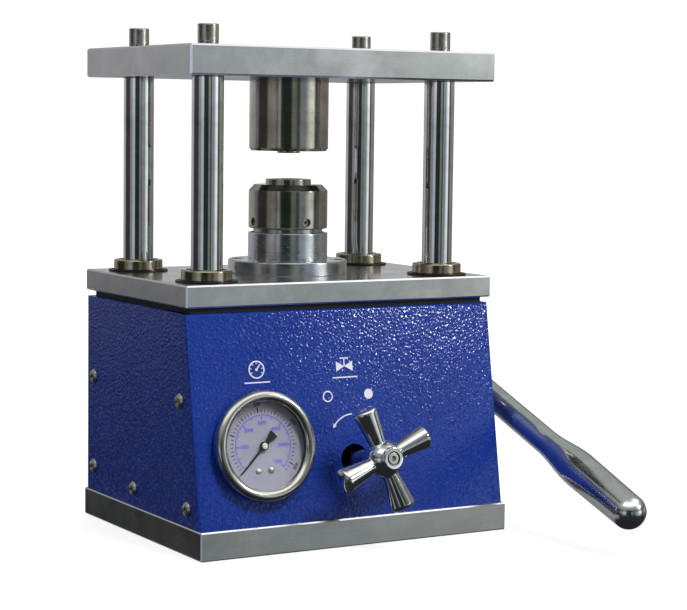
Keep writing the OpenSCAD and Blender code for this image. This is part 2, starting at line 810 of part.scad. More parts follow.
module spoke() {
    root_r = 5;
    end_r = 7.9;
    end_at = 33.2;
    round_r = 2.4;
    dome = arc(end_r - round_r, end_at - round_r, round_r, 0, 72, 6);
    rotate_extrude() polygon(concat([[0, 4], [root_r, 4], [root_r, 10], [end_r, 28]],
                                    dome, [[end_r * 0.4, end_at + 0.5], [0, end_at + 0.7]]));
}

module handle_screw() {
    color("gray") on_panel(valve_x, valve_up) translate([0, 0, 43.35]) socket_screw(3.8, 3.6, 2.5, 8.3, 3.4);
}

module gauge_case() {
    color("silver") on_panel(gauge_x, gauge_up) difference() {
        union() {
            translate([0, 0, -case_depth]) cylinder(r = 31.5, h = case_depth + 4);
            cylinder(r = 33.2, h = 1.6);
        }
        translate([0, 0, 1.5 - case_depth]) cylinder(r = 30.3, h = 40);
        translate([0, 0, -case_depth - 1]) cylinder(r = 7.02, h = 10);
    }
}

module gauge_bezel() {
    r = bezel_d / 2;
    lip = arc(r - 3.6, 5.6, 3.6, 0, 135, 10);
    color("silver") on_panel(gauge_x, gauge_up) rotate_extrude()
        polygon(concat([[31.6, 1.7], [r - 0.2, 1.7], [r, 2.2]], lip, [[28.1, 7.1], [28.1, 6.3], [31.6, 6.3]]));
}

module gauge_window() {
    color("aliceblue", 0.3) on_panel(gauge_x, gauge_up) translate([0, 0, 4.1]) cylinder(r = 31.3, h = 2.1);
}

module gauge_dial() {
    color("white") on_panel(gauge_x, gauge_up) difference() {
        cylinder(r = 30, h = 0.8);
        translate([0, 0, -1]) cylinder(r = 1.6, h = 3);
    }
}

// Pointer, arbor and pinion in one piece; the pointer rests at the low end of the dial
module gauge_needle() {
    zero = 224.5;
    color("black") on_panel(gauge_x, gauge_up) union() {
        rotate([0, 0, zero]) translate([0, 0, 2]) linear_extrude(0.5)
            polygon(concat([[23.8, 0], [21.5, 0.4], [2, 0.9], [-2, 0.9]], arc(0, 0, 10.6, 163, 197, 6),
                           [[-2, -0.9], [2, -0.9], [21.5, -0.4]]));
        translate([0, 0, 1.5]) disc(2.8, 1.6, 0.3);
        translate([0, 0, -11.4]) cylinder(r = 0.8, h = 14);
        translate([0, 0, -8]) linear_extrude(2.6) rotate([0, 0, 270 + 180 / pinion_teeth])
            gear_outline(pinion_teeth, 0, pinion_teeth - 1);
    }
}

// Toothed sector on its own arbor, below the pinion
module sector_gear() {
    half_arc = 7;
    color("goldenrod") on_panel(gauge_x, gauge_up) translate([0, -gear_centres, 0]) union() {
        translate([0, 0, -7.6]) linear_extrude(1.8) rotate([0, 0, 90])
            sector_outline(half_arc);
        translate([0, 0, -11.4]) cylinder(r = 0.8, h = 9.4);
    }
}

// The sector is turned by whole teeth, so that it stays in mesh with the pinion
module sector_outline(half_arc) {
    shift = round(sector_rest / (360 / sector_teeth));
    gear_outline(sector_teeth, shift - half_arc, shift + half_arc);
    circle(r = 2.4);
}

module movement_plates() {
    color("goldenrod") on_panel(gauge_x, gauge_up) difference() {
        union() {
            for (z = [-11, -2.6]) translate([-7, -22, z]) cube([14, 28, 1]);
            for (y = [-20.5, 4.6]) translate([0, y, -12.1]) cylinder(r = 1.3, h = 10);
        }
        for (y = [0, -gear_centres]) translate([0, y, -12]) cylinder(r = 0.85, h = 20);
    }
}

// C-shaped tube brazed to the socket, whose stem screws into the manifold block
module bourdon_tube() {
    color("goldenrod") on_panel(gauge_x, gauge_up) difference() {
        union() {
            translate([0, 0, -13]) rotate([0, 0, -95]) rotate_extrude(angle = 255) translate([25.5, 0])
                square([2.4, 7]);
            translate([-6, -27.5, -17.9]) cube([12, 34, 5.8]);
            translate([-6, -28, -17.9]) cube([12, 4, 11]);
            translate([0, 0, -51]) cylinder(r = 6.5, h = 35);
            translate([0, 0, -case_depth - 9.6]) hex_bar(14, 9.5);
        }
        translate([0, 0, -52]) cylinder(r = 1.5, h = 33);
    }
}

base_plate();
base_screws();
base_brackets();
front_cover();
left_side_panel();
right_side_panel();
rear_panel();
panel_screws();
table_gasket();
table_plate();
columns();
column_washers();
column_ring_nuts();
top_plate();
cap_screws();
spring_washers();
upper_die();
upper_die_bolt();
ejector_pin();
ejector_spring();
gland_flange();
gland_screws();
guide_collar();
wiper_seal();
cylinder_barrel();
ram();
piston_seal();
return_spring();
lower_die();
die_core();
die_set_screws();
manifold_block();
oil_tank();
filler_plug();
pump_barrel();
pump_gland_nut();
pump_plunger();
inlet_check_ball();
outlet_check_ball();
outlet_check_plug();
shaft_pedestal();
shaft_bushes();
cross_shaft();
crank_arm();
lever_hub();
hub_screw();
lever();
valve_ball();
valve_spindle();
valve_gland_nut();
cross_handle();
handle_screw();
gauge_case();
gauge_bezel();
gauge_window();
gauge_dial();
gauge_needle();
sector_gear();
movement_plates();
bourdon_tube();
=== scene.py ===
"""Looks of the hand-pumped bench press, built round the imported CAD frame.

Outlines and places are written in millimetres, and MM turns them into Blender's metres.
"""

import json
import math

import bmesh
import bpy
from mathutils import Matrix, Vector


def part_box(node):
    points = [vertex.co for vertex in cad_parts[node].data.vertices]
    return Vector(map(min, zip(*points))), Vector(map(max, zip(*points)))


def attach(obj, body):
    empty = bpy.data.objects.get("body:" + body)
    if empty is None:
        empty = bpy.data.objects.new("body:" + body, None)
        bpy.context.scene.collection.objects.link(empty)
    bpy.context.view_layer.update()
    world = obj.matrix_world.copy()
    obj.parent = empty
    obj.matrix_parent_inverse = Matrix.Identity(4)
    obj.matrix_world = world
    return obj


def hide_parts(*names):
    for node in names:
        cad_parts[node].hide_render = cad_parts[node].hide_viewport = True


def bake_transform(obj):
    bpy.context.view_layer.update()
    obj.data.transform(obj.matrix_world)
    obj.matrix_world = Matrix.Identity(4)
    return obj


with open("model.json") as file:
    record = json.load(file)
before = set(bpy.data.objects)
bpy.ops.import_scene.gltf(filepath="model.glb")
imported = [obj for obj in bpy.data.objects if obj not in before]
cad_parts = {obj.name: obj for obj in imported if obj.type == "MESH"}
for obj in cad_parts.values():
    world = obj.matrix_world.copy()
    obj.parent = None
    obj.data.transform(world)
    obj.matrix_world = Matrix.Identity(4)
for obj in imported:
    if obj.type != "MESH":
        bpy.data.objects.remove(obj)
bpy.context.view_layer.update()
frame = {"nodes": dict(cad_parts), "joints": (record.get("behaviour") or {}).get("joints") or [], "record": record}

MM = 0.001
ROUND = 144            # segments round a large turned piece
SMALL_ROUND = 72       # segments round a small turned piece
SMOOTH_ANGLE = 32      # edges sharper than this stay crisp, in degrees
joints = {joint["name"]: joint for joint in frame["joints"]}


def corners(node):
    """Lowest and highest corner of a CAD node, in millimetres."""
    low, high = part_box(node)
    return low / MM, high / MM


def at(x, y, z=0.0):
    """Matrix that moves a piece to a place given in millimetres."""
    return Matrix.Translation(Vector((x, y, z)) * MM)


def turn(degrees, axis):
    return Matrix.Rotation(math.radians(degrees), 4, axis)


def axes_matrix(across, up, out, origin):
    """Matrix whose columns are three axes and an origin in metres."""
    rows = [(*row, o) for row, o in zip(zip(across, up, out), origin)]
    return Matrix((*rows, (0, 0, 0, 1)))


# Places -------------------------------------------------------------------------------------------

COLUMN_X, COLUMN_Y = 85.5, 50.5
TABLE_TOP = corners("table_plate")[1].z
TOP_LOW, TOP_TOP = corners("top_plate")[0].z, corners("top_plate")[1].z
NECK_TOP = corners("lower_die")[0].z
LOWER_DIE_TOP = corners("lower_die")[1].z
CORE_TOP = corners("die_core")[1].z
UPPER_DIE_LOW = corners("upper_die")[0].z
EJECTOR_LOW = corners("ejector_pin")[0].z
FLANGE_TOP = corners("gland_flange")[1].z
COLLAR_TOP = corners("guide_collar")[1].z
LEVER_DROOP = 19.7     # lean of the lever below the horizontal, in degrees

panel_out = Vector(joints["valve_turn"]["axis"]).normalized()
panel_across = Vector((1, 0, 0))
panel_up = panel_out.cross(panel_across)
panel_tilt = math.asin(panel_out.z)
panel_foot = Vector((0, corners("front_cover")[0].y, corners("front_cover")[0].z)) * MM
on_panel = axes_matrix(panel_across, panel_up, panel_out, panel_foot)
on_valve = axes_matrix(panel_across, panel_up, panel_out, joints["valve_turn"]["pos_m"])
on_gauge = axes_matrix(panel_across, panel_up, panel_out, joints["needle_turn"]["pos_m"])
shaft_end = Matrix.Translation(Vector(joints["lever_swing"]["pos_m"]))
on_lever = shaft_end @ turn(90 + LEVER_DROOP, "X")
on_shaft = shaft_end @ turn(90, "Y")


def at_columns():
    """Name and matrix of each column's place."""
    for side, x in (("left", -COLUMN_X), ("right", COLUMN_X)):
        for row, y in (("front", -COLUMN_Y), ("back", COLUMN_Y)):
            yield f"{row}_{side}", at(x, y)


# Materials ----------------------------------------------------------------------------------------

def principled(name, colour, metallic=0.0, roughness=0.5, **uniform):
    """A material with a Principled shader; uniform values go straight on the shader's sockets."""
    material = bpy.data.materials.new(name)
    material.use_nodes = True
    tree = material.node_tree
    shader = tree.nodes["Principled BSDF"]
    shader.inputs["Base Color"].default_value = (*colour, 1)
    shader.inputs["Metallic"].default_value = metallic
    shader.inputs["Roughness"].default_value = roughness
    for socket, value in uniform.items():
        shader.inputs[socket.replace("_", " ")].default_value = value
    return material, tree, shader


def node(tree, kind, inputs=None, **settings):
    """A shader node with its settings, and its inputs set or linked by name or number."""
    made = tree.nodes.new("ShaderNode" + kind)
    for key, value in settings.items():
        setattr(made, key, value)
    for key, value in (inputs or {}).items():
        if isinstance(value, bpy.types.NodeSocket):
            tree.links.new(value, made.inputs[key])
        else:
            made.inputs[key].default_value = value
    return made


def object_place(tree, stretch=(1, 1, 1)):
    """Object coordinates in metres, stretched along each axis."""
    place = node(tree, "TexCoord").outputs["Object"]
    return node(tree, "VectorMath", {0: place, 1: stretch}, operation="MULTIPLY").outputs[0]


def turned_place(tree):
    """Coordinates that repeat round Z, so that a pattern on them looks turned on a lathe."""
    parts = node(tree, "SeparateXYZ", {0: node(tree, "TexCoord").outputs["Object"]})
    flat = node(tree, "CombineXYZ", {0: parts.outputs[0], 1: parts.outputs[1]})
    radius = node(tree, "VectorMath", {0: flat.outputs[0]}, operation="LENGTH").outputs["Value"]
    return node(tree, "CombineXYZ", {0: radius, 2: parts.outputs[2]}).outputs[0]


def noise(tree, place, scale, detail=3.0, rough=0.5, distortion=0.0):
    """Noise with a scale in features per metre."""
    return node(tree, "TexNoise", {"Vector": place, "Scale": scale, "Detail": detail, "Roughness": rough,
                                   "Distortion": distortion}).outputs["Fac"]


def ramp(tree, factor, stops, interpolation="LINEAR"):
    """Colour ramp; each stop is a position and a grey value or a colour."""
    made = node(tree, "ValToRGB", {"Fac": factor})
    made.color_ramp.interpolation = interpolation
    elements = made.color_ramp.elements
    for index, (position, value) in enumerate(stops):
        element = elements[index] if index < len(elements) else elements.new(position)
        element.position = position
        colour = (value,) * 3 if isinstance(value, (int, float)) else value
        element.color = (*colour, 1)
    return made.outputs["Color"]


def math_node(tree, operation, a, b=0.0, c=0.0):
    return node(tree, "Math", {0: a, 1: b, 2: c}, operation=operation).outputs[0]


def weighted(tree, a, a_share, b, b_share):
    """Sum of two values, each times its share."""
    return math_node(tree, "MULTIPLY_ADD", a, a_share, math_node(tree, "MULTIPLY", b, b_share))


def mixed(tree, factor, a, b, blend="MIX"):
    made = node(tree, "Mix", {0: factor, 6: a, 7: b}, data_type="RGBA", blend_type=blend)
    return made.outputs[2]


def bump(tree, shader, height, depth, strength=1.0):
    """Raises the surface by height times depth in millimetres."""
    made = node(tree, "Bump", {"Height": height, "Distance": depth * MM, "Strength": strength})
    tree.links.new(made.outputs["Normal"], shader.inputs["Normal"])


def link(tree, output, shader, socket):
    tree.links.new(output, shader.inputs[socket])


def edge_mask(tree):
    """Mask for the painted bevel highlight: 1 on bevels and 0 on faces that are square to an axis."""
    parts = node(tree, "SeparateXYZ", {0: node(tree, "TexCoord").outputs["Normal"]})
    sizes = [math_node(tree, "ABSOLUTE", parts.outputs[i]) for i in range(3)]
    largest = math_node(tree, "MAXIMUM", math_node(tree, "MAXIMUM", sizes[0], sizes[1]), sizes[2])
    return ramp(tree, largest, [(0.80, 1.0), (0.93, 0.0)])


def blue_paint():
    """Textured powder coat: soft cells with sparse raised blobs that catch the light."""
    material, tree, shader = principled("blue_paint", (0.008, 0.035, 0.27), Specular_IOR_Level=0.36)
    place = object_place(tree)
    drift = noise(tree, place, 18, 3)
    link(tree, ramp(tree, drift, [(0.3, (0.005, 0.029, 0.245)), (0.7, (0.008, 0.037, 0.285))]),
         shader, "Base Color")
    cells = node(tree, "TexVoronoi", {"Vector": place, "Scale": 560.0, "Smoothness": 0.8},
                 feature="SMOOTH_F1").outputs["Distance"]
    blobs = ramp(tree, noise(tree, place, 460, 2, 0.5, 0.8), [(0.56, 0.0), (0.68, 1.0)], "EASE")
    height = weighted(tree, blobs, 0.9, cells, 0.7)
    link(tree, ramp(tree, noise(tree, place, 900, 2), [(0.3, 0.13), (0.75, 0.24)]), shader, "Roughness")
    bump(tree, shader, height, 0.4, 0.9)
    return material


def ground_steel():
    """Plated ground plate: cloudy mottling, faint grinding lines and a painted highlight on the bevels."""
    material, tree, shader = principled("ground_steel", (0.5, 0.5, 0.49), 0.9, 0.3)
    place = object_place(tree)
    clouds = noise(tree, place, 34, 6, 0.62, 0.5)
    stains = noise(tree, place, 9, 3, 0.5)
    grain = noise(tree, object_place(tree, (0.02, 1, 1)), 1600, 2)
    body = ramp(tree, clouds, [(0.30, (0.33, 0.335, 0.33)), (0.52, (0.43, 0.435, 0.43)),
                               (0.72, (0.54, 0.545, 0.54))])
    tinted = mixed(tree, ramp(tree, stains, [(0.42, 0.0), (0.62, 0.4)]), body, (0.40, 0.44, 0.41, 1))
    painted_bevel_highlight = edge_mask(tree)
    # Painted highlight: the bevels are mixed towards a pale lilac, as if they caught the light.
    link(tree, mixed(tree, painted_bevel_highlight, tinted, (0.80, 0.79, 0.86, 1)), shader, "Base Color")
    link(tree, ramp(tree, weighted(tree, grain, 0.4, clouds, 0.6), [(0.3, 0.11), (0.7, 0.25)]),
         shader, "Roughness")
    bump(tree, shader, math_node(tree, "MULTIPLY_ADD", clouds, 2.0, grain), 0.012, 0.6)
    return material


def turned_metal(name, dark, light, roughness, depth=0.006):
    """Metal with the fine rings that a lathe tool leaves, and a slow change of shade."""
    material, tree, shader = principled(name, light, 1.0, roughness)
    rings = noise(tree, turned_place(tree), 2600, 2)
    clouds = noise(tree, object_place(tree), 70, 4, 0.6)
    shade = weighted(tree, rings, 0.35, clouds, 0.65)
    link(tree, ramp(tree, shade, [(0.36, dark), (0.62, light)]), shader, "Base Color")
    pits = noise(tree, object_place(tree), 420, 3, 0.6)
    link(tree, ramp(tree, weighted(tree, pits, 0.5, rings, 0.5),
                    [(0.35, roughness - 0.06), (0.68, roughness + 0.08)]), shader, "Roughness")
    bump(tree, shader, rings, depth, 0.7)
    return material


def polished_metal(name, dark, light, low_rough, high_rough):
    """Plated or polished metal with faint smears and hairline scratches."""
    material, tree, shader = principled(name, light, 1.0, low_rough)
    smears = noise(tree, object_place(tree), 55, 4, 0.6, 0.8)
    hairs = noise(tree, object_place(tree, (1, 1, 0.05)), 2200, 2)
    link(tree, ramp(tree, smears, [(0.3, dark), (0.65, light)]), shader, "Base Color")
    link(tree, ramp(tree, weighted(tree, hairs, 0.4, smears, 0.6), [(0.35, low_rough), (0.7, high_rough)]),
         shader, "Roughness")
    bump(tree, shader, smears, 0.02, 0.25)
    return material


def dull_surface(name, dark, light, roughness, metallic=0.0, scale=300, depth=0.03, specular=0.5):
    """Rubber, plastic, enamel or a dull metal finish with a fine even grain."""
    material, tree, shader = principled(name, light, metallic, roughness, Specular_IOR_Level=specular)
    grain = noise(tree, object_place(tree), scale * 6, 2, 0.6)
    clouds = noise(tree, object_place(tree), scale / 4, 4, 0.6)
    link(tree, ramp(tree, clouds, [(0.32, dark), (0.68, light)]), shader, "Base Color")
    link(tree, ramp(tree, grain, [(0.3, roughness - 0.06), (0.7, roughness + 0.08)]), shader, "Roughness")
    bump(tree, shader, grain, depth, 0.4)
    return material


def clear_window():
    material, tree, shader = principled("clear_window", (0.97, 0.98, 0.99), 0.0, 0.02,
                                        Transmission_Weight=1.0, IOR=1.4)
    smudges = noise(tree, object_place(tree), 120, 4, 0.6, 0.5)
    link(tree, ramp(tree, smudges, [(0.45, 0.0), (0.8, 0.035)]), shader, "Roughness")
    return material


materials = {"blue_paint": blue_paint(), "ground_steel": ground_steel(), "clear_window": clear_window()}
for make, rows in (
        (turned_metal, (
            ("machined_steel", (0.40, 0.40, 0.395), (0.60, 0.60, 0.59), 0.2),
            ("die_steel", (0.36, 0.34, 0.30), (0.56, 0.53, 0.47), 0.13),
            ("stainless", (0.52, 0.51, 0.465), (0.64, 0.63, 0.585), 0.2, 0.0015),
            ("aluminium", (0.56, 0.58, 0.615), (0.80, 0.82, 0.86), 0.2, 0.008),
            ("brass", (0.48, 0.33, 0.12), (0.72, 0.53, 0.24), 0.24))),
        (polished_metal, (
            ("chrome_plate", (0.62, 0.63, 0.645), (0.80, 0.81, 0.82), 0.03, 0.09),
            ("satin_chrome", (0.60, 0.61, 0.62), (0.78, 0.79, 0.80), 0.13, 0.22),
            ("nickel_plate", (0.40, 0.35, 0.235), (0.58, 0.52, 0.385), 0.14, 0.24),
            ("zinc_steel", (0.42, 0.41, 0.37), (0.60, 0.58, 0.53), 0.24, 0.36),
            ("cream_cap", (0.62, 0.60, 0.50), (0.78, 0.76, 0.66), 0.25, 0.4))),
        (dull_surface, (
            ("black_steel", (0.010, 0.010, 0.010), (0.03, 0.03, 0.029), 0.42, 0.6),
            ("spring_steel", (0.12, 0.12, 0.12), (0.22, 0.22, 0.22), 0.35, 1.0),
            ("block_iron", (0.13, 0.135, 0.14), (0.22, 0.225, 0.23), 0.45, 0.8),
            ("black_rubber", (0.006, 0.006, 0.007), (0.018, 0.018, 0.02), 0.6, 0.0, 300, 0.05),
            ("black_plastic", (0.012, 0.012, 0.012), (0.03, 0.03, 0.03), 0.4),
            ("dial_white", (0.165, 0.16, 0.20), (0.19, 0.186, 0.23), 0.5, 0.0, 60, 0.004, 0.2),
            ("needle_black", (0.002, 0.002, 0.002), (0.006, 0.006, 0.005), 0.5, 0.0, 300, 0.03, 0.08),
            ("print_blue", (0.045, 0.045, 0.30), (0.07, 0.065, 0.38), 0.5, 0.0, 80, 0.004, 0.1),
            ("print_white", (0.72, 0.70, 0.80), (0.86, 0.84, 0.92), 0.5, 0.0, 80, 0.01)))):
    for row in rows:
        materials[row[0]] = make(*row)

for part in frame["record"]["subparts"]:
    mesh = frame["nodes"][part["node"]].data
    mesh.materials.clear()
    mesh.materials.append(materials[part["material_slot"]])


# Shape helpers ------------------------------------------------------------------------------------

def outline(points, closed=False, hold=0.3, steps=5):
    """Rounds each corner (x, y, radius) of an outline, and adds points near the ends of long runs.

    The extra points keep the shading of a flat run flat right up to its rounded corners.
    """
    count = len(points)
    rounded = []
    for i, point in enumerate(points):
        p = Vector(point[:2])
        radius = point[2] if len(point) > 2 else 0
        if radius == 0 or (not closed and i in (0, count - 1)):
            rounded.append(p)
            continue
        before = (Vector(points[i - 1][:2]) - p).normalized()
        after = (Vector(points[(i + 1) % count][:2]) - p).normalized()
        half = before.angle(after) / 2
        centre = p + (before + after).normalized() * radius / math.sin(half)
        start = p + before * radius / math.tan(half) - centre
        end = p + after * radius / math.tan(half) - centre
        sweep = start.angle(end)
        for k in range(steps + 1):
            t = k / steps
            arm = start * math.sin((1 - t) * sweep) + end * math.sin(t * sweep)
            rounded.append(centre + arm / math.sin(sweep))
    held = []
    last = len(rounded) if closed else len(rounded) - 1
    for i in range(last):
        a, b = rounded[i], rounded[(i + 1) % len(rounded)]
        held.append(a)
        if (b - a).length > 4 * hold:
            step = (b - a).normalized() * hold
            held += [a + step, b - step]
    return held if closed else held + [rounded[-1]]


def arc(cx, cy, radius, start, end, steps=8):
    """Points of an arc; angles in degrees."""
    angles = [math.radians(start + (end - start) * k / steps) for k in range(steps + 1)]
    return [(cx + radius * math.cos(a), cy + radius * math.sin(a)) for a in angles]


def to_axis(points):
    """The points, with the last one exactly on the axis."""
    return [*points[:-1], (0, points[-1][1])]


def lathe(profile, segments=ROUND, closed=False):
    """Turns (radius, height) points about Z. An open profile starts and ends on the axis."""
    bm = bmesh.new()
    rings = []
    for radius, height in profile:
        count = 1 if radius < 1e-6 else segments
        angles = [math.tau * k / segments for k in range(count)]
        rings.append([bm.verts.new((radius * math.cos(a) * MM, radius * math.sin(a) * MM, height * MM))
                      for a in angles])
    pairs = list(zip(rings, rings[1:]))
    if closed:
        pairs.append((rings[-1], rings[0]))
    for low, high in pairs:
        for k in range(segments):
            n = (k + 1) % segments
            ends = [low[k % len(low)], low[n % len(low)], high[n % len(high)], high[k % len(high)]]
            distinct = list(dict.fromkeys(ends))
            if len(distinct) > 2:
                bm.faces.new(distinct)
    bmesh.ops.recalc_face_normals(bm, faces=bm.faces)
    return bm


def turned_ring(points, segments=ROUND):
    return lathe(outline(points, True), segments, True)


def turned_solid(points, segments=ROUND):
    return lathe(outline(points), segments)


def prism(outline_points, z0, z1):
    """A flat outline with thickness, from z0 to z1."""
    bm = bmesh.new()
    low = [bm.verts.new((x * MM, y * MM, z0 * MM)) for x, y in outline_points]
    high = [bm.verts.new((x * MM, y * MM, z1 * MM)) for x, y in outline_points]
    bm.faces.new(low[::-1])
    bm.faces.new(high)
    for i, start in enumerate(low):
        n = (i + 1) % len(low)
        bm.faces.new((start, low[n], high[n], high[i]))
    bmesh.ops.recalc_face_normals(bm, faces=bm.faces)
    return bm


def bar(length, width):
    """Outline of a rectangle round the origin."""
    x, y = length / 2, width / 2
    return [(-x, -y), (x, -y), (x, y), (-x, y)]


def rod(radius, z0, z1, segments=SMALL_ROUND):
    return lathe([(0, z0), (radius, z0), (radius, z1), (0, z1)], segments)


def hexagon(across_flats, z0, z1):
    return rod(across_flats / 2 / math.cos(math.pi / 6), z0, z1, 6)


def join(*parts):
    """One bmesh from several, each given alone or with its matrix."""
    whole = bmesh.new()
    for part in parts:
        bm, place = part if isinstance(part, tuple) else (part, Matrix.Identity(4))
        bm.transform(place)
        mesh = bpy.data.meshes.new("part")
        bm.to_mesh(mesh)
        bm.free()
        whole.from_mesh(mesh)
        bpy.data.meshes.remove(mesh)
    return whole


def shown(name, data):
    """A new object in the scene."""
    made = bpy.data.objects.new(name, data)
    bpy.context.scene.collection.objects.link(made)
    return made


def scratch(bm):
    """A temporary object for modifiers."""
    mesh = bpy.data.meshes.new("scratch")
    bm.to_mesh(mesh)
    bm.free()
    return shown("scratch", mesh)


def evaluated(*objects):
    """The first object's mesh with its modifiers applied, as a bmesh; all the objects are removed."""
    bpy.context.view_layer.update()
    final = objects[0].evaluated_get(bpy.context.evaluated_depsgraph_get())
    mesh = bpy.data.meshes.new_from_object(final)
    bm = bmesh.new()
    bm.from_mesh(mesh)
    bpy.data.meshes.remove(mesh)
    for made in objects:
        bpy.data.objects.remove(made)
    return bm


def carve(solid, *cutters):
    """The solid with each cutter taken away."""
    body, tool = scratch(solid), scratch(join(*cutters))
    modifier = body.modifiers.new("carve", "BOOLEAN")
    modifier.object = tool
    modifier.operation = "DIFFERENCE"
    modifier.solver = "EXACT"
    modifier.use_self = True
    return evaluated(body, tool)


def mesh_of(name, bm, *finishes):
    """A mesh with smooth shading across soft edges and the given materials."""
    bmesh.ops.remove_doubles(bm, verts=bm.verts, dist=1e-7)
    mesh = bpy.data.meshes.new(name)
    bm.to_mesh(mesh)
    bm.free()
    mesh.polygons.foreach_set("use_smooth", [True] * len(mesh.polygons))
    mesh.set_sharp_from_angle(angle=math.radians(SMOOTH_ANGLE))
    for finish in finishes:
        mesh.materials.append(finish)
    return mesh


def place_piece(name, mesh, body, matrix, stands_for=()):
    """Shows a mesh as a named piece that rides on a body."""
    made = shown(name, mesh)
    made.matrix_world = matrix
    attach(made, body)
    if stands_for:
        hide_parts(*stands_for)
    return made


def piece(name, bm, body, slot, matrix=None, stands_for=()):
    return place_piece(name, mesh_of(name, bm, materials[slot]), body, matrix or Matrix.Identity(4),
                       stands_for)


def copies(name, bm, body, slot, node_name, places):
    """One shape at several places, each given as the end of its name and a matrix."""
    mesh = mesh_of(name, bm, materials[slot])
    for suffix, place in places:
        place_piece(f"{name}_{suffix}", mesh, body, place, [node_name] if node_name else ())


# Columns and their fittings -----------------------------------------------------------------------

def columns():
    """Stepped columns with a tapped hole in each end."""
    foot, head = corners("columns")[0].z, corners("columns")[1].z
    table_low = corners("table_plate")[0].z
    column_r, foot_r, tapped_r, tapped = 10, 11.5, 4, 25
    profile = outline([(0, foot + tapped), (tapped_r, foot + tapped), (tapped_r, foot), (foot_r, foot, 0.6),
                       (foot_r, table_low, 0.3), (column_r, table_low), (column_r, head, 0.3),
                       (tapped_r, head), (tapped_r, head - tapped), (0, head - tapped)])
    copies("column", lathe(profile), "press", "chrome_plate", "columns", at_columns())


def ring_nuts():
    """Round nuts with a recess round the column, on black washers."""
    low, high = corners("column_ring_nuts")[0].z, corners("column_ring_nuts")[1].z
    nut_r, recess_r, recess_floor, seat = 16.1, 13.2, high - 1.6, TABLE_TOP + 0.02
    ring = turned_ring([(10.03, low), (nut_r, low, 0.4), (nut_r, high, 1.0), (recess_r, high, 0.25),
                        (13.0, recess_floor, 0.2), (10.03, recess_floor)])
    washer = turned_ring([(10.1, seat), (19.6, seat, 0.2), (19.6, low, 0.35), (10.1, low)])
    copies("ring_nut", ring, "press", "nickel_plate", "column_ring_nuts", at_columns())
    copies("washer", washer, "press", "black_steel", "column_washers", at_columns())


def socket_screw(head_r, head_h, shank_r, length, across_flats, bevel=0.9):
    """Cap screw with a hexagon socket; the underside of its head is at z = 0."""
    body = turned_solid([(0, -length), (shank_r, -length, 0.5), (shank_r, 0), (head_r, 0, 0.2),
                         (head_r, head_h, bevel), (0, head_h)], SMALL_ROUND)
    return carve(body, hexagon(across_flats, head_h * 0.45, head_h + 1))


def cap_screws():
    """Cap screws on split spring washers, one over each column."""
    washer_h = 2.6
    head_low = TOP_TOP + washer_h
    head_h = corners("cap_screws")[1].z - head_low
    ring = turned_ring([(4.2, 0), (6.6, 0, 0.3), (6.6, washer_h, 0.3), (4.2, washer_h)], SMALL_ROUND)
    slot_cut = prism([(3, -0.5), (9, 0.9), (9, 1.9), (3, 0.5)], -1, 4)
    washer = carve(ring, (slot_cut, turn(205, "Z")))
    for name, bm, z in (("cap_screw", socket_screw(6.65, head_h, 3.95, 40, 6), head_low),
                        ("spring_washer", washer, TOP_TOP)):
        places = [(column, place @ at(0, 0, z) @ turn(17 * index, "Z"))
                  for index, (column, place) in enumerate(at_columns())]
        copies(name, bm, "press", "zinc_steel", name + "s", places)
    bolt = socket_screw(6.5, 8, 3.95, 22, 6)
    piece("upper_die_cap_screw", bolt, "press", "black_steel", at(0, 0, TOP_TOP - 9), ["upper_die_bolt"])


# Dies, ram and gland ------------------------------------------------------------------------------

def upper_die():
    low, high, r = UPPER_DIE_LOW, TOP_LOW, corners("upper_die")[1].x
    bevel, pin_bore_r, pin_bore_top, spring_r, spring_top = 1.8, 7.65, low + 15, 6.4, low + 23
    bolt_r, bolt_floor = 4, high - 16
    profile = outline([(0, spring_top), (spring_r, spring_top), (spring_r, pin_bore_top),
                       (pin_bore_r, pin_bore_top), (pin_bore_r, low, 0.15), (r - bevel, low, 0.2),
                       (r, low + bevel, 0.2), (r, high), (bolt_r, high), (bolt_r, bolt_floor),
                       (0, bolt_floor)])
    piece("upper_punch", lathe(profile), "press", "die_steel", None, ["upper_die"])
    pin = outline([(0, 0), (7.6, 0, 0.5), (7.6, 14.5, 0.4), (3.6, 14.5), (3.6, 19, 0.3), (0, 19)])
    piece("ejector", lathe(pin, SMALL_ROUND), "ejector", "die_steel", at(0, 0, EJECTOR_LOW), ["ejector_pin"])


def lower_die():
    """Lower die with its core and four set screws; all of it rides on the ram."""
    low, high, r = NECK_TOP, LOWER_DIE_TOP, corners("lower_die")[1].x
    seat_r, seat_top, core_r, core_low, screw_z = 15.03, low + 11, 15.1, high - 12, low + 4.6
    cup_r, cup_floor = 10.1, CORE_TOP - 2.4
    profile = outline([(0, seat_top), (seat_r, seat_top), (seat_r, low), (r - 0.8, low, 0.2),
                       (r, low + 0.8, 0.2), (r, high - 4, 0.3), (r - 3.7, high, 0.3), (15.13, high, 0.2),
                       (15.13, core_low), (0, core_low)])
    radial = [at(0, 0, screw_z) @ turn(a, "Z") @ turn(90, "Y") for a in (0, 90, 180, 270)]
    die = carve(lathe(profile), *[(rod(2.65, 14, 30, 32), place) for place in radial])
    piece("lower_die_ring", die, "ram", "die_steel", None, ["lower_die"])
    core = outline([(0, core_low), (core_r, core_low, 0.4), (core_r, CORE_TOP, 0.5), (cup_r, CORE_TOP, 0.2),
                    (cup_r, cup_floor, 0.3), (0, cup_floor)])
    piece("lower_die_core", lathe(core), "ram", "die_steel", None, ["die_core"])
    screw = carve(turned_solid([(0, 0), (2.6, 0, 0.3), (2.6, 9, 0.5), (0, 9)], 32), hexagon(2.5, 6, 11))
    copies("die_set_screw", screw, "ram", "zinc_steel", "die_set_screws",
           [(index + 1, place @ at(0, 0, 15.05)) for index, place in enumerate(radial)])


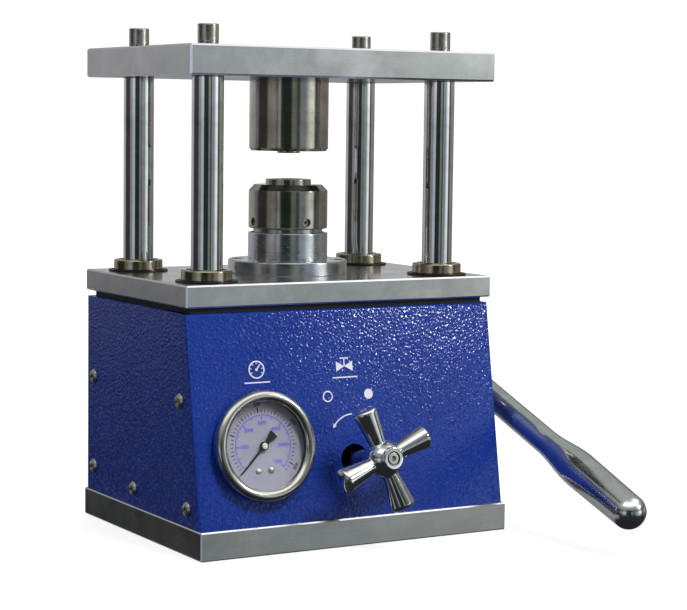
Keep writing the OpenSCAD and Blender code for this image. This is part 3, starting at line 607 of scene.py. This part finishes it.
def ram_and_gland():
    """Ram with its piston, the flange and collar that guide it, and the wiper in the collar."""
    piston_low = corners("ram")[0].z
    piston_top, groove_low, groove_top = piston_low + 18, piston_low + 6, piston_low + 12
    piston_r, groove_r, stem_r, stem_top, ram_r, neck_r = 26.95, 23.5, 16, 150, 23, 15
    neck_end = NECK_TOP + 10.5
    profile = outline([(0, piston_low), (piston_r, piston_low, 0.6), (piston_r, groove_low),
                       (groove_r, groove_low), (groove_r, groove_top), (piston_r, groove_top),
                       (piston_r, piston_top, 0.6), (stem_r, piston_top, 0.8), (stem_r, stem_top, 0.8),
                       (ram_r, stem_top, 0.6), (ram_r, NECK_TOP, 0.4), (neck_r, NECK_TOP),
                       (neck_r, neck_end, 0.8), (0, neck_end)])
    piece("ram_plunger", lathe(profile), "ram", "machined_steel", None, ["ram"])

    spigot_low, seat = corners("gland_flange")[0].z, TABLE_TOP + 0.02
    bore_r, spigot_r, flange_r, collar_r = 23.05, 26.98, 39.6, 26.4
    flange = outline([(bore_r, spigot_low), (spigot_r, spigot_low, 0.5), (spigot_r, seat),
                      (flange_r, seat, 0.4), (flange_r, FLANGE_TOP, 0.9), (26.45, FLANGE_TOP, 0.15),
                      (26.45, FLANGE_TOP - 3), (bore_r, FLANGE_TOP - 3)], True)
    seats = [at(0, 0, FLANGE_TOP) @ turn(60 * i + 30, "Z") @ at(33.5, 0) for i in range(6)]
    countersink = [(0, -30), (2.7, -30), (2.7, -2.9), (5.25, 0.05), (5.25, 1), (0, 1)]
    holes = [(lathe(countersink, 40), place) for place in seats]
    piece("ram_gland_flange", carve(lathe(flange, closed=True), *holes), "press", "aluminium", None,
          ["gland_flange"])
    screw = turned_solid([(0, -17), (2.45, -17, 0.4), (2.45, -2.8), (4.85, -0.3, 0.15), (0, -0.3)], 40)
    copies("gland_screw", carve(screw, hexagon(3, -2.2, 1)), "press", "black_steel", "gland_screws",
           [(index + 1, place @ turn(25 * index, "Z")) for index, place in enumerate(seats)])

    collar = outline([(bore_r, FLANGE_TOP - 3), (collar_r, FLANGE_TOP - 3), (collar_r, COLLAR_TOP, 0.6),
                      (24.6, COLLAR_TOP, 0.15), (24.6, COLLAR_TOP - 3), (bore_r, COLLAR_TOP - 3)], True)
    piece("ram_collar", lathe(collar, closed=True), "press", "aluminium", None, ["guide_collar"])
    wiper = outline([(bore_r, COLLAR_TOP - 3), (24.55, COLLAR_TOP - 3), (24.55, COLLAR_TOP - 0.5, 0.2),
                     (23.6, COLLAR_TOP - 1.1, 0.2), (bore_r, COLLAR_TOP - 0.3, 0.2)], True)
    piece("ram_wiper", lathe(wiper, closed=True), "press", "black_rubber", None, ["wiper_seal"])


def springs():
    """Each coil spring is its CAD mesh shown in place; the body that presses on its lower end is listed but not
    used, so the coil rides on no body and keeps its length.
    """
    for node_name, body, name in (("return_spring", "ram", "ram_return_coil"),
                                  ("ejector_spring", "ejector", "ejector_coil")):
        coil = shown(name, frame["nodes"][node_name].data.copy())
        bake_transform(coil)
        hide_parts(node_name)


# Lever --------------------------------------------------------------------------------------------

def lever():
    """Rod that swells into a grip with a round end, its hub, and the cap screw on the shaft's end."""
    rod_r, grip_r, tip_r = 8.6, 12.1, 11.2
    reach, flare_start, flare_length, flare_steps = 254, 150, 40, 28
    flare = [(rod_r + (grip_r - rod_r) * (1 - math.cos(math.pi * k / flare_steps)) / 2,
              flare_start + flare_length * k / flare_steps) for k in range(flare_steps + 1)]
    body = [(0, 7.5), (5, 7.5), (5, 14), (rod_r - 0.8, 14), (rod_r - 0.25, 14.25), (rod_r, 14.8),
            *[(rod_r, 15 + 15 * k) for k in range(9)], *flare, *arc(0, reach - tip_r, tip_r, 0, 90, 30)]
    rod_mesh = mesh_of("pump_lever", lathe(to_axis(body)), materials["satin_chrome"])
    place_piece("pump_lever", rod_mesh, "lever", on_lever, ["lever"])

    hub_back, hub_front, hub_r, hub_bore_r = -13.5, 10.5, 15, 7.02
    ring = turned_ring([(hub_bore_r, hub_back, 0.3), (hub_r, hub_back, 1.2), (hub_r, hub_front, 1.2),
                        (hub_bore_r, hub_front, 0.3)])
    seat = on_shaft.inverted() @ on_lever
    hub = carve(ring, (rod(10, 14, 24), seat), (rod(5.02, 4, 20, 40), seat))
    piece("lever_boss", hub, "lever", "zinc_steel", on_shaft, ["lever_hub"])
    washer_r, washer_h = 9.5, 1.6
    washer = turned_ring([(3.2, 0), (washer_r, 0, 0.2), (washer_r, washer_h, 0.3), (3.2, washer_h)],
                         SMALL_ROUND)
    screw = join(washer, (socket_screw(5, 6, 2.95, 14, 5, 0.6), at(0, 0, washer_h)))
    piece("lever_cap_screw", screw, "lever", "zinc_steel", on_shaft @ at(0, 0, hub_front + 0.05),
          ["hub_screw"])


# Sheet housing ------------------------------------------------------------------------------------

def front_cover():
    """Sloping front sheet with bent edges, its inner flanges and its holes."""
    low, high = corners("front_cover")
    sheet_t, strip, bend = 1.5, 7.0, 1.7
    lean = math.tan(panel_tilt)

    def front_y(z):
        return low.y + (z - low.z) * lean

    bm = bmesh.new()

    def vert(x, depth, z):
        return bm.verts.new(Vector((x, front_y(z) + depth, z)) * MM)

    rows = [[vert(low.x, strip, z), vert(low.x, 0, z), vert(high.x, 0, z), vert(high.x, strip, z)]
            for z in (low.z, high.z)]
    for i in range(3):
        bm.faces.new((rows[0][i], rows[0][i + 1], rows[1][i + 1], rows[1][i]))
    mitre = bend + 0.3
    back = [vert(x, strip + 1, high.z) for x in (low.x + mitre + strip, high.x - mitre - strip)]
    bm.faces.new((rows[1][1], rows[1][2], back[1], back[0]))
    bm.edges.ensure_lookup_table()
    bends = [bm.edges.get((rows[0][1], rows[1][1])), bm.edges.get((rows[0][2], rows[1][2])),
             bm.edges.get((rows[1][1], rows[1][2]))]
    bmesh.ops.bevel(bm, geom=bends, offset=bend * MM, segments=6, profile=0.5, affect="EDGES")
    shell = scratch(bm)
    solid = shell.modifiers.new("sheet", "SOLIDIFY")
    solid.thickness = sheet_t * MM
    solid.offset = -1
    solid.use_even_offset = True
    bm = evaluated(shell)

    inside_x, flange_top = high.x - sheet_t, high.z - 2
    flange = [(front_y(z) + depth, z) for depth, z in ((2.2, low.z), (26, low.z), (26, flange_top),
                                                       (2.2, flange_top))]
    upright = Matrix(((0, 0, 1, 0), (1, 0, 0, 0), (0, 1, 0, 0), (0, 0, 0, 1)))
    flanges = []
    for side in (-1, 1):
        x0, x1 = sorted((side * (inside_x - 0.05), side * (inside_x - sheet_t)))
        flanges.append((prism(flange, x0, x1), upright))
    holes = [(rod(32, -5, 5), on_gauge), (rod(10, -5, 5), on_valve)]
    return carve(join(bm, *flanges), *holes)


def panel_screw():
    """Domed screw with a cross recess, seated on z = 0."""
    dome_r, rim_r, rim_h, shank_r = 5.9, 4.75, 0.5, 2.45
    drop = math.sqrt(dome_r ** 2 - rim_r ** 2)
    start = math.degrees(math.acos(rim_r / dome_r))
    dome = to_axis(arc(0, rim_h - drop, dome_r, start, 90, 10))
    body = lathe([(0, -6), (2.3, -6), (shank_r, -5.6), (shank_r, 0), (4.6, 0), (rim_r, 0.15), *dome], 48)
    wing = bar(5, 0.9)
    return carve(body, prism(wing, 1.3, 5), (prism(wing, 1.25, 5), turn(90, "Z")))


def housing():
    piece("front_panel_cover", front_cover(), "press", "blue_paint", None, ["front_cover"])
    half_w, back_y = corners("front_cover")[1].x, corners("rear_panel")[1].y
    rear_x, rear_z, plug_z = 80, 29.5, 84
    side_places = [(63.8, 95.3), (63.6, 34.8), (0.5, 29.5), (-66.6, 94.7), (-77.6, 29.2)]
    places = []
    for side, name in ((-1, "left"), (1, "right")):
        places += [(f"{name}_{index + 1}",
                    at(side * half_w, y, z) @ turn(90 * side, "Y") @ turn(31 * index + 12, "Z"))
                   for index, (y, z) in enumerate(side_places)]
        places.append((f"rear_{name}", at(rear_x * side, back_y, rear_z) @ turn(-90, "X") @ turn(20, "Z")))
    copies("panel_screw", panel_screw(), "press", "zinc_steel", "panel_screws", places)
    stem_r, head_r, head_low, head_top = 8, 12, 11.2, 14
    plug = turned_solid([(0, 0), (stem_r, 0, 0.6), (stem_r, head_low), (head_r, head_low, 0.3),
                         (head_r, head_top, 0.7), (0, head_top)], SMALL_ROUND)
    piece("oil_filler_plug", carve(plug, hexagon(8, 12.2, 16)), "press", "black_plastic",
          at(0, back_y - 11, plug_z) @ turn(-90, "X"), ["filler_plug"])


# Release valve ------------------------------------------------------------------------------------

def nearest(profile, point):
    """Nearest point of an open outline."""
    best = None
    for a, b in zip(profile, profile[1:]):
        along = b - a
        share = min(max((point - a).dot(along) / along.length_squared, 0), 1)
        found = a + along * share
        if best is None or (found - point).length_squared < (best - point).length_squared:
            best = found
    return best


def eased(share):
    """A share held between 0 and 1, with a soft start and end."""
    share = min(max(share, 0), 1)
    return share * share * (3 - 2 * share)


def valve_handle():
    """Cross handle cast in one piece: a ball, a front boss, a skirt and four spokes, with soft roots.

    The fused shape is pulled back on to the true spokes and ball away from the roots.
    """
    spoke_out, disc_out, hub_r = 35.5, 47.3, 11.5   # spokes' and front face's height, ball's radius
    root_end, free_from = 13, 18                    # the pull grows between these distances along a spoke
    voxel, passes = 0.36 * MM, 10
    ball = lathe([(0, spoke_out - hub_r), *arc(0, spoke_out, hub_r, -85, 85, 30), (0, spoke_out + hub_r)],
                 SMALL_ROUND)
    boss = rod(6.9, spoke_out, disc_out - 0.1)
    skirt = lathe([(0, 22), (8, 22), (9, 30), (0, 30)], SMALL_ROUND)
    rim, crown = arc(5.5, 30.8, 2.4, -8, 72, 12), arc(0, 13.87, 20.2, 73, 90, 8)
    spoke = [(0, 4), (5, 4), (5, 10), *rim, *to_axis(crown)]
    places = [at(0, 0, spoke_out) @ turn(21.5 + 90 * k, "Z") @ turn(90, "Y") for k in range(4)]
    blank = scratch(join(ball, boss, skirt, *[(lathe(spoke, SMALL_ROUND), place) for place in places]))
    remesh = blank.modifiers.new("fuse", "REMESH")
    remesh.mode = "VOXEL"
    remesh.voxel_size = voxel
    soften = blank.modifiers.new("soften", "SMOOTH")
    soften.factor = 0.5
    soften.iterations = passes
    cast = evaluated(blank)
    surface = [Vector(p) for p in spoke[2:]]
    centre = Vector((0, 0, spoke_out * MM))
    ways = [(place, place.inverted()) for place in places]
    for vertex in cast.verts:
        for place, back in ways:
            local = back @ vertex.co / MM
            radius = math.hypot(local.x, local.y)
            if local.z > root_end and radius < 10:
                target = nearest(surface, Vector((radius, local.z)))
                spread = target.x / max(radius, 1e-4)
                goal = place @ (Vector((local.x * spread, local.y * spread, target.y)) * MM)
                vertex.co = vertex.co.lerp(goal, eased((local.z - root_end) / (free_from - root_end)))
                break
        else:
            arm = vertex.co - centre
            share = 1 - abs(arm.length / MM - hub_r) / 0.3
            vertex.co = vertex.co.lerp(centre + arm.normalized() * hub_r * MM, eased(share))
    return carve(cast, rod(5, 15, 35.1), rod(2.6, 30, 50), rod(4.6, disc_out - 4, disc_out + 3),
                 rod(12, disc_out, disc_out + 5))


def release_valve():
    mesh = mesh_of("cross_handle", valve_handle(), materials["chrome_plate"])
    mesh.set_sharp_from_angle(angle=math.radians(75))
    place_piece("valve_cross_handle", mesh, "valve_spindle", on_valve, ["cross_handle"])
    piece("valve_handle_screw", socket_screw(3.8, 3.6, 2.5, 8.3, 3.4, 0.5), "valve_spindle", "zinc_steel",
          on_valve @ at(0, 0, 43.35), ["handle_screw"])


# Gauge --------------------------------------------------------------------------------------------

DIAL_ZERO, DIAL_SWEEP = 224.5, 270     # angle of the zero mark and sweep of both scales, in degrees
DIAL_FACE, INK = 0.8, 0.05             # height of the dial's face, and of the print on it


def ray_bar(angle, r0, r1, width):
    """Outline of a radial line on the dial."""
    a = math.radians(angle)
    along, across = Vector((math.cos(a), math.sin(a))), Vector((-math.sin(a), math.cos(a))) * width / 2
    return [along * r0 - across, along * r1 - across, along * r1 + across, along * r0 + across]


def ring_band(radius, width, start, end, steps=90):
    """Outline of a curved line on the dial."""
    return arc(0, 0, radius - width / 2, start, end, steps) + arc(0, 0, radius + width / 2, end, start, steps)


def numeral(text, size, x, y, lean=0.0):
    """Figures as a flat mesh on the dial, centred on a point and turned by lean degrees."""
    curve = bpy.data.curves.new("numeral", "FONT")
    curve.body = text
    curve.size = size * MM
    curve.align_x = "CENTER"
    curve.align_y = "CENTER"
    curve.extrude = 0.03 * MM
    curve.offset = size * 0.024 * MM
    return evaluated(shown("numeral", curve)), at(x, y, DIAL_FACE + 0.03) @ turn(lean, "Z")


def dial_angle(share):
    return DIAL_ZERO - DIAL_SWEEP * share


def inked(points):
    """A printed shape on the dial."""
    return prism(points, DIAL_FACE - INK, DIAL_FACE + INK)


def ticks(top, step, start, lengths):
    """Radial ticks from start; lengths gives each reach and width by the values it falls on."""
    marks = []
    for value in range(0, top + 1, step):
        reach, width = next(shape for multiple, shape in lengths if value % multiple == 0)
        marks.append(inked(ray_bar(dial_angle(value / top), *sorted((start, reach)), width)))
    return marks


def black_scale():
    """Outer scale from 0 to 420, a tick at each 10, with its figures turned to follow the ring."""
    top, figures_r = 420, 25.9
    marks = ticks(top, 10, 20.7, [(100, (24.2, 0.75)), (50, (23.2, 0.6)), (10, (22.5, 0.45))])
    for value in range(0, top, 100):
        angle = dial_angle(value / top)
        x, y = figures_r * math.cos(math.radians(angle)), figures_r * math.sin(math.radians(angle))
        marks.append(numeral(str(value), 3.2, x, y, angle - 90))
    return join(*marks)


def blue_scale():
    """Inner scale from 0 to 6000 with upright figures."""
    top = 6000
    marks = ticks(top, 100, 19.4, [(1000, (16.6, 0.7)), (500, (17.6, 0.55)), (100, (18.4, 0.4))])
    marks.append(inked(ring_band(19.3, 0.45, dial_angle(0), dial_angle(1))))
    for value in range(0, top + 1, 1000):
        angle = math.radians(dial_angle(value / top))
        marks.append(numeral(str(value), 3.3, 13.4 * math.cos(angle), 14.3 * math.sin(angle)))
    return join(*marks)


def dial():
    dial_r, arbor_r = 30, 1.6
    face = turned_ring([(arbor_r, 0), (dial_r, 0, 0.15), (dial_r, DIAL_FACE, 0.15), (arbor_r, DIAL_FACE)])
    piece("dial_plate", face, "press", "dial_white", on_gauge, ["gauge_dial"])
    piece("dial_black_scale", black_scale(), "press", "needle_black", on_gauge)
    blue_mesh = mesh_of("blue_scale", blue_scale(), materials["print_blue"])
    place_piece("dial_blue_scale", blue_mesh, "press", on_gauge)
    dome = to_axis(arc(0, DIAL_FACE - 1.0, 2.4, 25, 90, 8))
    screw = carve(lathe([(0, 0.2), (2.1, 0.2), *dome], 40), prism(bar(6, 0.5), 1.85, 4))
    copies("dial_screw", screw, "press", "zinc_steel", None,
           [(name, on_gauge @ at(x, -15.3) @ turn(spin, "Z"))
            for name, x, spin in (("left", -4.5, 35), ("right", 4.5, -20))])


def gauge():
    dial()
    hole_r, case_r, lip_r, inner_r, back, back_inside = 7.02, 31.5, 33.2, 30.3, -19.5, -18
    case = turned_ring([(hole_r, back), (case_r, back, 1.2), (case_r, 0), (lip_r, 0, 0.2), (lip_r, 1.6, 0.2),
                        (case_r, 1.6), (case_r, 4), (inner_r, 4), (inner_r, back_inside),
                        (hole_r, back_inside)])
    piece("gauge_body", case, "press", "stainless", on_gauge, ["gauge_case"])
    # Black rubber window seal lining the case wall between dial and window; its black also stands in for the shade
    # under the bezel rim, so it is partly painted shade.
    seal_and_shade_ring = turned_ring([(28.7, 0.95, 0.2), (30.25, 0.95), (30.25, 4.05), (28.7, 4.05, 0.2)])
    piece("gauge_seal_and_shade_ring", seal_and_shade_ring, "press", "black_rubber", on_gauge)
    r = corners("gauge_bezel")[1].x - joints["needle_turn"]["pos_m"][0] / MM
    roll_r = 3.6
    roll = arc(r - roll_r, 5.6, roll_r, 0, 150, 22)
    bezel = lathe([(31.6, 1.7), (r - 0.3, 1.7), (r, 2.1), *roll, (27.6, 6.9), (27.7, 6.3), (31.6, 6.3)],
                  closed=True)
    piece("gauge_bezel_ring", bezel, "press", "stainless", on_gauge, ["gauge_bezel"])
    pane = turned_solid([(0, 4.1), (31.3, 4.1, 0.1), (31.3, 6.2, 0.1), (0, 6.2)])
    window = piece("gauge_window_pane", pane, "press", "clear_window", on_gauge, ["gauge_window"])
    window.visible_shadow = False
    cap = turned_solid([(0, 3.0), (1.9, 3.0), (1.9, 3.5, 0.3), (0, 3.5)], 40)
    place_piece("pointer_cap", mesh_of("pointer_cap", cap, materials["cream_cap"]), "needle", on_gauge)


# Printed marks on the front panel -----------------------------------------------------------------

PRINT_LOW, PRINT_HIGH = -0.05, 0.09    # the print reaches a little into the sheet and stands proud of it


def stroke(points, width, closed=False):
    """A printed line of even width through the points, as a thin solid."""
    path = [Vector(p) for p in points]
    count = len(path)
    left, right = [], []
    for i, p in enumerate(path):
        before = path[i - 1] if closed or i else p
        after = path[(i + 1) % count] if closed or i < count - 1 else p
        along = (after - before).normalized()
        across = Vector((-along.y, along.x)) * width / 2
        left.append(p + across)
        right.append(p - across)
    if not closed:
        return filled([*left, *right[::-1]])
    bm = bmesh.new()
    rows = [[bm.verts.new((p.x * MM, p.y * MM, z * MM)) for p in side]
            for side in (left, right) for z in (PRINT_LOW, PRINT_HIGH)]
    for a, b in ((0, 1), (1, 3), (3, 2), (2, 0)):
        for i in range(count):
            n = (i + 1) % count
            bm.faces.new((rows[a][i], rows[a][n], rows[b][n], rows[b][i]))
    bmesh.ops.recalc_face_normals(bm, faces=bm.faces)
    return bm


def circle(x, y, radius, steps=40):
    return [(x + radius * math.cos(math.tau * k / steps), y + radius * math.sin(math.tau * k / steps))
            for k in range(steps)]


def filled(points):
    return prism(points, PRINT_LOW, PRINT_HIGH)


def panel_marks():
    """Generic signs for the gauge, the valve and its open and closed sides, and the opening arrow."""
    line = 0.8
    gx, gy = -65, 96.5
    marks = [stroke(circle(gx, gy, 5.2), line, True), stroke([(gx, gy), (gx + 2.4, gy + 3)], line),
             filled(circle(gx, gy, 0.9, 20)), stroke([(gx - 9, gy - 8), (gx + 9, gy - 8)], line)]
    for angle in range(-30, 211, 40):
        a = math.radians(angle)
        marks.append(stroke([(gx + r * math.cos(a), gy + r * math.sin(a)) for r in (3.5, 4.6)], 0.5))
    vx, vy = -2, 95.5
    for side in (-1, 1):
        marks.append(filled([(vx, vy), (vx + side * 6, vy + 3.2), (vx + side * 6, vy - 3.2)]))
    marks += [stroke([(vx, vy), (vx, vy + 5.2)], line),
              stroke([(vx - 3, vy + 5.2), (vx + 3, vy + 5.2)], line),
              stroke([(vx - 9, vy - 7), (vx + 9, vy - 7)], line)]
    sign_y, sign_r = 77, 3.2
    marks += [stroke(circle(-15.5, sign_y, sign_r), line, True), filled(circle(14.5, sign_y, sign_r, 32))]
    bow = arc(1.5, 47.8, 17.2, 91, 140, 16)
    tip = Vector(bow[-1])
    head = [tip + Vector(step) for step in ((-1.2, 1.0), (-1.4, -2.1), (1.3, -0.9))]
    marks += [stroke(bow, line), filled(head)]
    signs = mesh_of("panel_signs", join(*marks), materials["print_white"])
    place_piece("panel_signs", signs, "press", on_panel)


# Stage --------------------------------------------------------------------------------------------

def floor():
    """Pale floor. It fades into the white backdrop, and gives little light back to the object."""
    bm = bmesh.new()
    bmesh.ops.create_grid(bm, x_segments=1, y_segments=1, size=40)
    mesh = bpy.data.meshes.new("floor")
    bm.to_mesh(mesh)
    bm.free()
    material, tree, shader = principled("floor_paper", (0.24, 0.24, 0.24), 0.0, 0.95, Specular_IOR_Level=0.0)
    place = object_place(tree)
    link(tree, ramp(tree, noise(tree, place, 300, 2), [(0.3, 0.23), (0.7, 0.25)]), shader, "Base Color")
    far = ramp(tree, node(tree, "VectorMath", {0: place}, operation="LENGTH").outputs["Value"],
               [(0.2, 0.84), (0.5, 1.05)])
    glow = node(tree, "Emission", {"Color": far, "Strength": 1.0})
    seen = node(tree, "AddShader", {0: shader.outputs[0], 1: glow.outputs[0]})
    path = node(tree, "LightPath")
    both = node(tree, "MixShader", {0: path.outputs["Is Camera Ray"], 1: shader.outputs[0],
                                    2: seen.outputs[0]})
    tree.links.new(both.outputs[0], tree.nodes["Material Output"].inputs["Surface"])
    mesh.materials.append(material)
    made = shown("floor", mesh)
    made.location.z = -0.0003     # just below the base, so that the two faces don't share a plane
    made.visible_glossy = False


def area_light(name, place, target, size, power, mirrored=False):
    """Light that either lights surfaces softly or is only mirrored in them."""
    data = bpy.data.lights.new(name, "AREA")
    data.shape = "RECTANGLE"
    data.size, data.size_y = size
    data.energy = power
    made = shown(name, data)
    made.location = place
    made.rotation_mode = "QUATERNION"
    made.rotation_quaternion = (Vector(target) - Vector(place)).to_track_quat("-Z", "Y")
    made.visible_glossy = mirrored
    made.visible_diffuse = not mirrored


CAMERA_PLACE = (-0.66142, -1.19256, 0.26975)
CAMERA_YAW, CAMERA_PITCH, CAMERA_ROLL = -30.598, -5.233, 0.7266
CAMERA_LENS, CAMERA_SENSOR = 107.51, 36


def studio_world():
    """White behind the object, and for reflections a dim room with bright and dark upright panels."""
    world = bpy.data.worlds.new("studio")
    bpy.context.scene.world = world
    world.use_nodes = True
    world.cycles.sampling_method = "NONE"
    tree = world.node_tree
    out = tree.nodes["World Output"]
    tree.nodes.remove(tree.nodes["Background"])
    direction = node(tree, "TexCoord").outputs["Generated"]
    parts = node(tree, "SeparateXYZ", {0: direction})
    bearing = math_node(tree, "ARCTAN2", parts.outputs[1], parts.outputs[0])
    towards_camera = math.atan2(CAMERA_PLACE[1], CAMERA_PLACE[0])
    share = math_node(tree, "FRACT", math_node(tree, "MULTIPLY_ADD", bearing, 1 / math.tau,
                                               0.5 - towards_camera / math.tau + 1.0))
    # Each band is (degrees right of the camera, colour); the room repeats behind the object.
    bands = [(-180, (0.50, 0.50, 0.52)), (-116, (0.42, 0.41, 0.44)), (-108, (0.045, 0.044, 0.047)),
             (-66, (0.045, 0.044, 0.048)), (-62, (0.24, 0.235, 0.21)), (-44, (0.27, 0.265, 0.25)),
             (-41, (0.48, 0.49, 0.60)), (-26, (0.46, 0.47, 0.60)), (-22, (0.020, 0.036, 0.026)),
             (7, (0.018, 0.028, 0.022)), (11, (0.20, 0.23, 0.20)), (22, (0.17, 0.19, 0.18)),
             (25, (0.05, 0.055, 0.055)), (31, (0.07, 0.075, 0.075)), (35, (0.26, 0.29, 0.34)),
             (50, (0.22, 0.25, 0.27)), (59, (0.60, 0.65, 0.66)), (66, (0.92, 0.98, 0.96)),
             (78, (0.95, 1.0, 0.96)), (82, (0.07, 0.07, 0.07)), (96, (0.10, 0.10, 0.095)),
             (101, (0.27, 0.265, 0.235)),
             (150, (0.20, 0.20, 0.175)), (180, (0.50, 0.50, 0.52))]
    room = ramp(tree, share, [((degrees + 180) / 360, colour) for degrees, colour in bands])
    low_room = ramp(tree, share, [((degrees + 180) / 360, gain) for degrees, gain in
                                  ((-180, 0.3), (-150, 0.05), (-66, 0.05), (-50, 0.7), (30, 0.7), (50, 1.3),
                                   (59, 0.95), (70, 0.5), (80, 0.3), (100, 0.6), (180, 0.3))])
    height = math_node(tree, "MULTIPLY_ADD", parts.outputs[2], 0.5, 0.5)
    raise_by = ramp(tree, height, [(0.50, 1.0), (0.52, 1.65), (0.54, 1.65), (0.565, 0.5)])
    raised = mixed(tree, 1.0, room, raise_by, "MULTIPLY")
    dimmed = mixed(tree, ramp(tree, height, [(0.43, 1.0), (0.455, 0.35), (0.48, 0.0)]), raised,
                   mixed(tree, 1.0, room, low_room, "MULTIPLY"))
    rise = ramp(tree, height, [(0.0, 0.0), (0.36, 0.0), (0.40, 1.0), (0.62, 1.0), (0.72, 0.0)])
    # Above and below the bands: floor and ceiling, a light strip overhead in front, a low one behind.
    ends = ramp(tree, height, [(0.0, (0.02, 0.02, 0.021)), (0.36, (0.03, 0.031, 0.033)),
                               (0.5, (0.2, 0.2, 0.2)), (0.72, (0.33, 0.36, 0.33)), (1.0, (0.42, 0.45, 0.42))])
    ceiling = ramp(tree, height, [(0.80, 0.0), (0.85, 1.0), (0.95, 1.0), (1.0, 0.0)])
    in_front = ramp(tree, parts.outputs[1], [(0.0, 1.0), (0.08, 0.0)])
    ends = mixed(tree, mixed(tree, 1.0, ceiling, in_front, "MULTIPLY"), ends, (1.5, 1.5, 1.5, 1))
    low_back = ramp(tree, height, [(0.20, 0.0), (0.27, 1.0), (0.35, 1.0), (0.38, 0.0)])
    behind = ramp(tree, parts.outputs[1], [(0.15, 0.0), (0.35, 1.0)])
    ends = mixed(tree, mixed(tree, 1.0, low_back, behind, "MULTIPLY"), ends, (0.32, 0.33, 0.34, 1))
    mirrored = node(tree, "Background", {"Color": mixed(tree, rise, ends, dimmed), "Strength": 1.0})
    dome = node(tree, "Background", {"Color": (0.95, 0.97, 1.0, 1), "Strength": 0.36})
    white = node(tree, "Background", {"Color": (1, 1, 1, 1), "Strength": 1.05})
    path = node(tree, "LightPath")
    seen = node(tree, "MixShader", {0: path.outputs["Is Glossy Ray"], 1: dome.outputs[0],
                                    2: mirrored.outputs[0]})
    final = node(tree, "MixShader", {0: path.outputs["Is Camera Ray"], 1: seen.outputs[0],
                                     2: white.outputs[0]})
    tree.links.new(final.outputs[0], out.inputs["Surface"])


def stage():
    floor()
    studio_world()
    area_light("key_softbox", (0.30, -1.25, 1.55), (0, 0, 0.12), (0.5, 0.5), 30)
    area_light("top_softbox", (0.1, 0.25, 1.6), (0, 0, 0.1), (1.1, 0.8), 8)
    area_light("left_fill", (-1.5, -0.3, 0.9), (0, 0, 0.1), (0.8, 0.8), 2)
    area_light("back_fill", (0.7, 1.6, 1.2), (0, 0, 0.1), (0.9, 0.9), 22)
    area_light("glint", (0.98, -1.14, 0.72), (0, 0, 0.1), (0.14, 0.14), 7, True)
    bpy.context.scene.view_settings.view_transform = "Standard"


def camera():
    yaw, pitch, roll = (math.radians(a) for a in (CAMERA_YAW, CAMERA_PITCH, CAMERA_ROLL))
    forward = Vector((-math.sin(yaw) * math.cos(pitch), math.cos(yaw) * math.cos(pitch), math.sin(pitch)))
    right = Vector((math.cos(yaw), math.sin(yaw), 0))
    up = right.cross(forward)
    rolled_right = right * math.cos(roll) + up * math.sin(roll)
    rolled_up = up * math.cos(roll) - right * math.sin(roll)
    data = bpy.data.cameras.new("camera")
    data.lens = CAMERA_LENS
    data.sensor_width = CAMERA_SENSOR
    made = shown("camera", data)
    made.matrix_world = axes_matrix(rolled_right, rolled_up, -forward, CAMERA_PLACE)
    bpy.context.scene.camera = made


camera()
stage()
columns()
ring_nuts()
cap_screws()
upper_die()
lower_die()
ram_and_gland()
springs()
lever()
housing()
release_valve()
gauge()
panel_marks()
